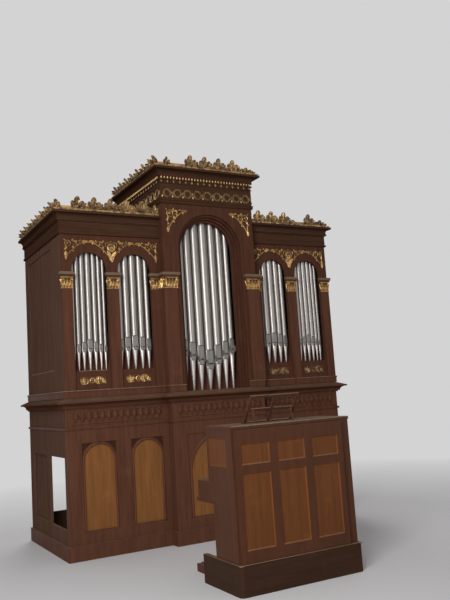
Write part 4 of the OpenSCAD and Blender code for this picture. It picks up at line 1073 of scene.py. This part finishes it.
class ORGAN_OT_reliefs(OrganOperator):
    """Small gilded scroll reliefs on a thin board under the side pipes"""
    bl_idname = "organ.reliefs"
    bl_label = "Relief panels"

    def build(self, sizes):
        low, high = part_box("relief_panels")
        middle_z = (low[2] + high[2]) / 2
        lines = [
            bow((-0.072, -0.012), (-0.062, 0.012), (-0.052, 0.014), (-0.044, 0.006), 0.005, 0.0035),
            scroll(-0.014, 0.0, 0.025, 0, 1.0, 0.007, 1.0),
            scroll(0.084, 0.014, 0.024, 200, 1.5, 0.0065),
            scroll(0.112, -0.014, 0.022, 20, 1.5, 0.0065),
            bow((0.030, -0.004), (0.045, -0.03), (0.070, -0.036), (0.092, -0.030), 0.005, 0.003),
        ]
        parts = [carved_lines("stems", lines)]
        tip = plain_leaf("tip", 0.06, 0.019, bend=0.35, smooth=0, thickness=0.008)
        tips = [(-0.104, -0.036, -36, 1.2), (-0.102, -0.038, -6, 1.28), (-0.100, -0.036, 26, 1.1),
                (-0.108, -0.030, -68, 0.7), (-0.094, -0.030, 58, 0.7), (0.022, -0.002, 36, 0.95),
                (0.022, 0.002, 140, 0.95), (0.060, 0.026, 60, 0.5), (0.120, -0.034, 60, 0.4)]
        parts.append(copies(tip, [at(x, 0, z, roll=math.radians(a), scale=(s, 1, s))
                                  for x, z, a, s in tips], "tips"))
        for x, z, r in ((-0.014, 0.0, 0.010), (-0.056, -0.004, 0.007), (0.084, 0.014, 0.008),
                        (0.112, -0.014, 0.007)):
            parts.append(moved(bead("boss", r, 8, 0.9), at(x, 0.0, z)))
        motif = joined(parts, "motif")
        places = [[at(side * x, FRONT - 0.008, middle_z) for x in OPENING_X] for side in SIDES]
        left = copies(motif, places[0], "relief_scrolls", keep=True)
        settle(left, "gilding", "gilding", "relief_panels")
        # The right-hand reliefs are gilded darker: partly wear and partly painted shade.
        settle(copies(motif, places[1], "rubbed_scrolls"), "relief_gilding", "gilding")
        boards = [block("board", (side * x - 0.142, FRONT - 0.005, low[2] + 0.002),
                        (side * x + 0.142, FRONT, high[2] - 0.002), 0.002)
                  for side in SIDES for x in OPENING_X]
        settle(joined(boards, "relief_boards"), "case_wood", "case_wood")


class ORGAN_OT_capitals(OrganOperator):
    """Gilded capitals with two rows of leaves, corner scrolls and an astragal"""
    bl_idname = "organ.capitals"
    bl_label = "Capitals"

    def build(self, sizes):
        low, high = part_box("capitals")
        tall = high[2] - low[2]
        out = 0.038
        spots = []
        for side in SIDES:
            for middle, width, plane in ((1.690, 0.132, FRONT), (1.175, 0.142, FRONT),
                                         (0.6655, 0.131, FRONT), (0.542, 0.192, MIDDLE)):
                spots.append((at(side * middle, plane, low[2]), width, out))
            spots.append((at(side * HALF_MIDDLE, MIDDLE + 0.0165, low[2], side * math.pi / 2),
                          0.097, out))
        leaf_front = acanthus("front", tall * 0.60, 0.019, bend=0.75, smooth=0, thickness=0.006)
        leaf_back = acanthus("back", tall * 0.84, 0.019, bend=0.60, smooth=0, thickness=0.006)
        volute = carved_lines("volute", [scroll(0, 0, 0.017, 90, 1.4, 0.006)])
        fronts, backs, volutes, parts, cores = [], [], [], [], []
        for spot, width, out in spots:
            face = -0.020
            half = width / 2
            cores.append(moved(block("core", (-half + 0.004, face, 0), (half - 0.004, 0, tall),
                                     0.003), spot))
            parts.append(moved(block("astragal", (-half, face - 0.008, 0), (half, 0, 0.010),
                                     0.004, 3), spot))
            parts.append(moved(block("cap", (-half, face - 0.012, tall - 0.012), (half, 0, tall),
                                     0.003), spot))
            count = max(3, round(width / 0.036))
            step = width / count
            fronts += [spot @ at(-half + step * (k + 0.5), face - 0.001, 0.010,
                                 scale=(step / 0.056, 1.2, 1)) for k in range(count)]
            backs += [spot @ at(-half + step * (k + 1), face + 0.002, 0.010,
                                scale=(step / 0.070, 1, 1)) for k in range(count - 1)]
            volutes += [spot @ at(end * (half - 0.018), face - 0.010, tall - 0.032,
                                  scale=(end, 1, 1)) for end in SIDES]
            fronts += [spot @ at(end * (half - 0.008), -0.012, 0.010, end * math.pi / 2,
                                 (0.6, 0.75, 1.2)) for end in SIDES]
        parts += [copies(leaf_front, fronts, "fronts"), copies(leaf_back, backs, "backs"),
                  copies(volute, volutes, "volutes")]
        settle(joined(parts, "capital_carving"), "capital_gilding", "gilding", "capitals")
        # The cores show between the leaves in a dark ground, a painted shade in the gaps.
        settle(joined(cores, "capital_cores"), "shaded_core_gilding", "gilding")


class ORGAN_OT_frieze(OrganOperator):
    """Carved lobes between the storeys, each one under a small dart"""
    bl_idname = "organ.frieze"
    bl_label = "Carved frieze"

    def build(self, sizes):
        low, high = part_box("frieze_carving")
        tall = high[2] - low[2]
        pitch = sizes.lobe_pitch
        lobe = bead("lobe", 0.030, 14, 1.0)
        edit(lobe)
        bpy.ops.transform.resize(value=(1, 0.7, tall * 0.40 / 0.030))
        pick(lobe, lambda p, n, i: p.z < -0.02)
        bpy.ops.transform.resize(value=(0.45, 0.6, 1), center_override=(0, 0, 0))
        put_down()
        dart = plain_leaf("dart", tall * 0.5, 0.008, bend=0.3, smooth=0)
        lobes, darts, parts = [], [], []
        middle_z = (low[2] + high[2]) / 2
        stretches = [(-HALF_MIDDLE + 0.06, HALF_MIDDLE - 0.06, MIDDLE),
                     (HALF_MIDDLE + 0.06, HALF - 0.06, FRONT),
                     (-HALF + 0.06, -HALF_MIDDLE - 0.06, FRONT)]
        for left, right, plane in stretches:
            count = math.floor((right - left) / pitch)
            start = (left + right - (count - 1) * pitch) / 2
            for k in range(count):
                x = start + k * pitch
                lobes.append(at(x, plane - 0.004, middle_z + 0.004))
                if k < count - 1:
                    darts.append(at(x + pitch / 2, plane - 0.004, middle_z + 0.05, roll=math.pi))
            for z in (low[2], high[2] - 0.009):
                parts.append(block("fillet", (left, plane - 0.010, z), (right, plane, z + 0.009),
                                   0.003))
        parts += [copies(lobe, lobes, "lobes"), copies(dart, darts, "darts")]
        settle(joined(parts, "frieze_lobes"), "carved_wood", "carved_wood", "frieze_carving",
               smooth=50)


def organ_pipe(sizes, d, foot, total, lip, lower, ears):
    """Metal pipe: foot, flat lips, slot, languid, open body and, on the big ones, ears."""
    r = d / 2
    slot = d * 0.16
    tip = d * 0.14
    taper = (r - tip) / foot
    top = foot + slot + lip
    rings = [(0.0, tip * 0.8)]
    rings += [(z, tip + taper * z) for z in (0.012, foot * 0.5, foot - lower - 0.010, foot - lower)]
    rings += [(z, r) for z in (foot, foot + slot, top, top + 0.008, total)]
    pipe = turned("pipe", rings, sizes.pipe_sides)
    edit(pipe)
    flat = sizes.lip_flat * r
    pick(pipe, lambda p, n, i: p.y < -flat and foot - lower - 0.001 < p.z < top + 0.001)
    bpy.ops.transform.resize(value=(1, 0, 1), center_override=(0, -flat, 0))
    pick(pipe, lambda p, n, i: (n.z > 0.9 and p.z > total - 0.001) or
         (n.y < -0.9 and foot < p.z < foot + slot and abs(p.x) < r * 0.62), "FACE")
    bpy.ops.mesh.delete(type="FACE")
    put_down()
    modifier(pipe, "SOLIDIFY", thickness=0.0018, offset=-1)
    for kind in ("pipe_metal", "lip_metal", "foot_metal"):
        pipe.data.materials.append(look(kind))
    for face in pipe.data.polygons:
        if face.center.y < -flat * 0.96 and foot - lower - 0.01 < face.center.z < foot + slot + lip:
            face.material_index = 1 if face.normal.y < -0.95 else 0
        elif face.center.z < foot:
            face.material_index = 2
    languid = turned("languid", [(foot - 0.002, r * 0.9), (foot + 0.001, r * 0.9)], 16)
    edit(languid)
    pick(languid, lambda p, n, i: p.y < -flat * 0.86)
    bpy.ops.transform.resize(value=(1, 0, 1), center_override=(0, -flat * 0.86, 0))
    put_down()
    languid.data.materials.append(look("lip_metal"))
    parts = [pipe, languid]
    if ears:
        for side in SIDES:
            x = sorted((side * r * 0.76, side * (r * 0.76 + 0.002)))
            parts.append(block("ear", (x[0], -r - 0.006, foot - 0.02),
                               (x[1], -flat * 0.8, foot + slot + 0.035), 0.0008, 1))
            parts[-1].data.materials.append(look("lip_metal"))
    return joined(parts, "pipe")


class ORGAN_OT_pipes(OrganOperator):
    """Front pipes of the five openings, with flat lips in a V or an arch"""
    bl_idname = "organ.pipes"
    bl_label = "Pipes"

    def build(self, sizes):
        side_low, side_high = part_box("side_pipes")
        low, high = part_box("centre_pipes")
        rows = (
            (OPENING_X[0], 0.065, 0.007, 0.004, (0.237, 0.234, 0.231, 0.228),
             (0.085, 0.062, 0.040, 0.025)),
            (OPENING_X[1], 0.085, 0.009, 0.005, (0.242, 0.236, 0.230), (0.108, 0.100, 0.085)),
        )
        parts = []
        for x, wide, taper, gap, feet, lips in rows:
            for k, (foot, lip) in enumerate(zip(feet, lips)):
                pipe = organ_pipe(sizes, wide - k * taper, foot, side_high[2] - side_low[2], lip,
                                  0.024, False)
                off = k * (wide + gap) - taper * k * k / 2
                parts.append(copies(pipe, [at(side * x + way * off, PIPE_Y, side_low[2])
                                           for side in SIDES for way in SIDES[:k + 1]], "pipes"))
        settle(joined(parts, "side_pipe_rows"), None, "pipe_metal", "side_pipes", smooth=30)
        parts = []
        wide, taper, gap = 0.114, 0.011, 0.0045
        for k, lip in enumerate((0.148, 0.150, 0.137, 0.114)):
            pipe = organ_pipe(sizes, wide - k * taper, 0.300 + 0.055 * k, high[2] - low[2], lip,
                              0.046, True)
            off = k * (wide + gap) - taper * k * k / 2
            parts.append(copies(pipe, [at(way * off, PIPE_Y, low[2]) for way in SIDES[:k + 1]],
                                "pipes"))
        settle(joined(parts, "middle_pipe_row"), None, "pipe_metal", "centre_pipes", smooth=30)


def picture_frame(name, low, high, y, width, depth):
    """Mitred bead round an opening in the XZ plane; low and high are its outer corners."""
    put_down()
    middle = ((low[0] + high[0]) / 2, y, (low[1] + high[1]) / 2)
    bpy.ops.mesh.primitive_plane_add(size=1, location=middle)
    obj = bpy.context.object
    obj.scale = (high[0] - low[0], high[1] - low[1], 1)
    obj.rotation_euler = (math.pi / 2, 0, 0)
    shaped(obj, name)
    edit(obj, "FACE")
    bpy.ops.mesh.inset(thickness=width, depth=0)
    bpy.ops.mesh.delete(type="FACE")
    bpy.ops.mesh.select_all(action="SELECT")
    bpy.ops.mesh.extrude_region_move(TRANSFORM_OT_translate={"value": (0, -depth, 0)})
    bpy.ops.mesh.select_all(action="SELECT")
    bpy.ops.mesh.normals_make_consistent(inside=False)
    bpy.ops.mesh.bevel(offset=min(width, depth) * 0.35, segments=2, affect="EDGES")
    put_down()
    return obj


def sloped_frame(name, low, high, y, width, depth):
    """Moulding in the XZ plane that slopes from an opening's edge in to its sunk panel."""
    put_down()
    middle = ((low[0] + high[0]) / 2, y, (low[1] + high[1]) / 2)
    bpy.ops.mesh.primitive_plane_add(size=1, location=middle)
    obj = bpy.context.object
    obj.scale = (high[0] - low[0], high[1] - low[1], 1)
    obj.rotation_euler = (math.pi / 2, 0, 0)
    shaped(obj, name)
    edit(obj, "FACE")
    bpy.ops.mesh.inset(thickness=width, depth=-depth)
    bpy.ops.mesh.delete(type="FACE")
    bpy.ops.mesh.select_all(action="SELECT")
    bpy.ops.mesh.extrude_region_move(TRANSFORM_OT_translate={"value": (0, 0.0005, 0)})
    bpy.ops.mesh.select_all(action="SELECT")
    bpy.ops.mesh.normals_make_consistent(inside=False)
    put_down()
    return obj


def arch_bead(name, x, half, bottom, spring, y, thick, steps=28):
    """Half-round bead up one side of an arch, round its head and down the other side."""
    line = [(x - half, bottom, thick), (x - half, (bottom + spring) / 2, thick)]
    turns = [math.pi * k / steps for k in range(steps + 1)]
    line += [(x - half * math.cos(a), spring + half * math.sin(a), thick) for a in turns]
    line += [(x + half, (bottom + spring) / 2, thick), (x + half, bottom, thick)]
    return moved(carved_lines(name, [line], round_steps=2), at(y=y))


class ORGAN_OT_arches(OrganOperator):
    """Beads round the arches of the lower storey"""
    bl_idname = "organ.arches"
    bl_label = "Arch beads"

    def build(self, sizes):
        spots = [(side * x, 0.174, 0.982, FRONT, 0.184, 28) for side in SIDES
                 for x in (1.400, 0.857)]
        spots.append((0.0, 0.406, 0.750, MIDDLE, 0.424, 40))
        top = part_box("lower_panels")[1][2]
        parts, corners = [], []
        for x, half, spring, plane, edge, steps in spots:
            parts.append(arch_bead("bead", x, half, 0.284, spring, plane + 0.011, 0.0085, steps))
            parts.append(arch_bead("rim", x, half + 0.016, spring, spring, plane + 0.012, 0.004,
                                   steps))
            if not x:
                continue
            # Thin dark plates in the sunk corners between each side arch and its panel's top: painted
            # shade.
            plate = block("corner", (x - edge, plane + 0.0105, spring),
                          (x + edge, plane + 0.0125, top - 0.002), 0.0004, 1)
            hole = turned("hole", [(-0.1, half + 0.006), (0.1, half + 0.006)], 48)
            moved(hole, at(x, plane, spring, lean=math.pi / 2))
            modifier(plate, "BOOLEAN", object=hole, operation="DIFFERENCE", solver="EXACT")
            bpy.data.objects.remove(hole)
            corners.append(plate)
        settle(joined(parts, "lower_arch_beads"), "bead_case_wood", "case_wood", smooth=60)
        settle(joined(corners, "lower_arch_corners"), "painted_shade_case_wood", "case_wood")


class ORGAN_OT_mouldings(OrganOperator):
    """Beads round the console's sunk panels, in a wood painted much lighter than the panels as
    highlights
    """
    bl_idname = "organ.mouldings"
    bl_label = "Console mouldings"

    def build(self, sizes):
        low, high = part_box("console_back_panels")
        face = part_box("console_back_frame")[0][1]
        parts = []
        wide = 0.274
        for k in range(3):
            x = low[0] + (high[0] - low[0] - wide) / 2 * k
            for z in ((0.340, 0.940), (1.008, 1.176)):
                parts.append(sloped_frame("slope", (x, z[0]), (x + wide, z[1]), face + 0.001,
                                          0.010, 0.0075))
        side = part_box("console_sides")
        boards = []
        for end, turn in ((side[0][0], -math.pi / 2), (side[1][0], math.pi / 2)):
            place = at(end, -1.6035, 0, turn)
            parts.append(moved(picture_frame("bead", (-0.149, 0.99), (0.149, 1.215), 0.0065,
                                             0.008, 0.0045), place))
            boards.append(moved(block("board", (-0.147, 0.0045, 0.992), (0.147, 0.0068, 1.213),
                                      0.0008, 1), place))
        settle(joined(parts, "console_beads"), "bead_wood_highlight", "console_panel_wood")
        settle(joined(boards, "console_side_boards"), "console_panel_wood",
               "console_panel_wood")


class ORGAN_OT_ledges(OrganOperator):
    """Thin dusty beads along the foot of the upper storey"""
    bl_idname = "organ.ledges"
    bl_label = "Dusty ledges"

    def build(self, sizes):
        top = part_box("upper_base")[1][2]
        out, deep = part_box("upper_base")[1][0] - HALF + 0.003, 0.018
        low_z, high_z = top - 0.006, top + 0.001
        opening = 0.412
        parts = []
        for side in SIDES:
            for x, y, x_end, y_end in (
                    (HALF + out - deep, FRONT - out, HALF + out, CASE_BACK - 0.002),
                    (HALF_MIDDLE + out, FRONT - out, HALF + out - deep, FRONT - out + deep),
                    (HALF_MIDDLE + out - deep, MIDDLE - out, HALF_MIDDLE + out, FRONT - out + deep),
                    (opening, MIDDLE - out, HALF_MIDDLE + out - deep, MIDDLE - out + deep)):
                ends = sorted((side * x, side * x_end))
                parts.append(block("ledge", (ends[0], y, low_z), (ends[1], y_end, high_z), 0.0015))
            ends = sorted((side * (HALF - 0.0095), side * (HALF + 0.0010)))
            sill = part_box("toe_boards")[1][2] + 0.033
            parts.append(block("sill", (ends[0], FRONT + 0.372, sill),
                               (ends[1], CASE_BACK - 0.187, sill + 0.006), 0.0015))
        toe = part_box("side_pipes")[0][2]
        parts.append(block("toe edge", (-OPENING_X[0] - 0.148, FRONT - 0.003, toe - 0.003),
                           (-OPENING_X[0] + 0.148, FRONT + 0.010, toe + 0.003), 0.0015))
        settle(joined(parts, "dusty_ledges"), "ledge_dust", "cornice_wood")
        self.console()

    def console(self):
        """A painted highlight along the front edge of the console's top, and dust on its plinth."""
        (low_x, low_y, _), (high_x, _, high_z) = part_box("console_top")
        parts = [block("edge", (low_x + 0.002, low_y - 0.001, high_z - 0.007),
                       (high_x - 0.002, low_y + 0.010, high_z + 0.0005), 0.002)]
        (low_x, low_y, _), (high_x, _, high_z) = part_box("console_plinth")
        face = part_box("console_back_frame")[0][1]
        parts.append(block("edge", (low_x + 0.001, low_y + 0.0005, high_z - 0.006),
                           (high_x - 0.001, face - 0.0005, high_z + 0.001), 0.002))
        settle(joined(parts, "console_ledges"), "ledge_dust", "plinth_wood")


class ORGAN_OT_keys(OrganOperator):
    """Two rows of keys with overhanging fronts and tapered sharps, from the low end on the
    player's left"""
    bl_idname = "organ.keys"
    bl_label = "Keyboards"

    def build(self, sizes):
        low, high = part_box("manual_naturals")
        pitch = (high[0] - low[0]) / 32
        row_low = low[2]
        natural = block("natural", (-pitch / 2 + sizes.key_gap / 2, -0.14, 0.004),
                        (pitch / 2 - sizes.key_gap / 2, -0.0015, 0.030), 0.0008, 1)
        cover = block("cover", (-pitch / 2 + sizes.key_gap / 2, -0.14, 0.0302),
                      (pitch / 2 - sizes.key_gap / 2, 0.0, 0.034), 0.001, 2)
        natural = joined([natural, cover], "natural")
        sharp = block("sharp", (-0.005, -0.0475, 0), (0.005, 0.0475, 0.011), 0.0012, 2)
        edit(sharp)
        pick(sharp, lambda p, n, i: p.z > 0.008)
        bpy.ops.transform.resize(value=(0.82, 1, 1), center_override=(0, 0, 0))
        pick(sharp, lambda p, n, i: p.z > 0.008 and p.y > 0.03)
        bpy.ops.transform.translate(value=(0, -0.005, -0.0015))
        put_down()
        naturals, sharps = [], []
        for row in range(2):
            front, base = high[1] - 0.1 * row, row_low + 0.066 * row
            for k in range(32):
                x = high[0] - pitch * (k + 0.5)
                naturals.append(at(x, front, base))
                if k % 7 not in (2, 6) and k < 31:
                    sharps.append(at(x - pitch / 2, front - 0.14 + 0.0475, base + 0.034))
        settle(copies(natural, naturals, "natural_keys"), "key_white", "key_white",
               "manual_naturals")
        settle(copies(sharp, sharps, "sharp_keys"), "key_black", "key_black",
               "manual_sharps")


class ORGAN_OT_knobs(OrganOperator):
    """Turned stop knobs with a dished face"""
    bl_idname = "organ.knobs"
    bl_label = "Stop knobs"

    def build(self, sizes):
        low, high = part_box("stop_knobs")
        radius = 0.014
        knob = turned("knob", [(0.0, 0.008), (0.002, 0.0085), (0.004, 0.007), (0.022, 0.006),
                               (0.024, 0.009), (0.025, 0.0128), (0.0275, radius), (0.034, radius),
                               (0.0365, 0.0128), (0.038, 0.0115), (0.0372, 0.0095),
                               (0.0365, 0.009), (0.0360, 0.002)], 20)
        moved(knob, Matrix.Rotation(-math.pi / 2, 4, "X"))
        middle = (low[0] + high[0]) / 2
        places = [at(middle + side * x, low[1], low[2] + radius + 0.07 * k)
                  for side in SIDES for x in (0.521, 0.461) for k in range(4)]
        settle(copies(knob, places, "turned_knobs"), "key_white", "key_white", "stop_knobs")


class ORGAN_OT_pedals(OrganOperator):
    """Pedal naturals with rounded tops and sharps with a raised nose"""
    bl_idname = "organ.pedals"
    bl_label = "Pedals"

    def build(self, sizes):
        low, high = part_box("pedal_keys")
        count = 16
        wide = 0.024
        pitch = (high[0] - low[0] - wide) / (count - 1)
        natural = block("natural", (-wide / 2, low[1], low[2]), (wide / 2, high[1], low[2] + 0.026),
                        0.005, 3)
        sharp = block("sharp", (-0.009, low[1], low[2] + 0.026), (0.009, low[1] + 0.26, high[2]),
                      0.005, 3)
        edit(sharp)
        pick(sharp, lambda p, n, i: p.y < low[1] + 0.1 and p.z > high[2] - 0.012)
        bpy.ops.transform.translate(value=(0, 0, -0.012))
        put_down()
        naturals = [at(high[0] - wide / 2 - pitch * k) for k in range(count)]
        sharps = [at(high[0] - wide / 2 - pitch * (k + 0.5)) for k in range(count - 1)
                  if k % 7 not in (2, 6)]
        parts = [copies(natural, naturals, "naturals"), copies(sharp, sharps, "sharps")]
        settle(joined(parts, "pedal_board"), "console_panel_wood", "console_panel_wood",
               "pedal_keys")


OPERATORS = (
    ORGAN_OT_stage, ORGAN_OT_finishes, ORGAN_OT_cresting, ORGAN_OT_rings, ORGAN_OT_beads,
    ORGAN_OT_spandrels, ORGAN_OT_reliefs, ORGAN_OT_capitals, ORGAN_OT_frieze, ORGAN_OT_arches,
    ORGAN_OT_pipes, ORGAN_OT_mouldings, ORGAN_OT_ledges, ORGAN_OT_keys, ORGAN_OT_knobs, ORGAN_OT_pedals,
)


class ORGAN_PT_pieces(bpy.types.Panel):
    """Lists the organ's pieces, their sizes and their colours"""
    bl_idname = "ORGAN_PT_pieces"
    bl_label = "Pipe Organ"
    bl_space_type = "VIEW_3D"
    bl_region_type = "UI"
    bl_category = "Organ"

    def draw(self, context):
        for kind in OPERATORS:
            self.layout.operator(kind.bl_idname)
        for values in (context.scene.organ_sizes, context.scene.organ_colours,
                       context.scene.organ_light):
            box = self.layout.box()
            for key in values.bl_rna.properties.keys():
                if key not in ("rna_type", "name"):
                    box.prop(values, key)


CLASSES = (OrganColours, OrganSizes, OrganLight, *OPERATORS, ORGAN_PT_pieces)


def register():
    for kind in CLASSES:
        bpy.utils.register_class(kind)
    bpy.types.Scene.organ_colours = PointerProperty(type=OrganColours)
    bpy.types.Scene.organ_sizes = PointerProperty(type=OrganSizes)
    bpy.types.Scene.organ_light = PointerProperty(type=OrganLight)


def unregister():
    for key in ("organ_light", "organ_sizes", "organ_colours"):
        delattr(bpy.types.Scene, key)
    for kind in reversed(CLASSES):
        bpy.utils.unregister_class(kind)


def main():
    """Builds every piece in order."""
    register()
    for kind in OPERATORS:
        group_name, piece = kind.bl_idname.split(".")
        getattr(getattr(bpy.ops, group_name), piece)()


if __name__ == "__main__":
    main()
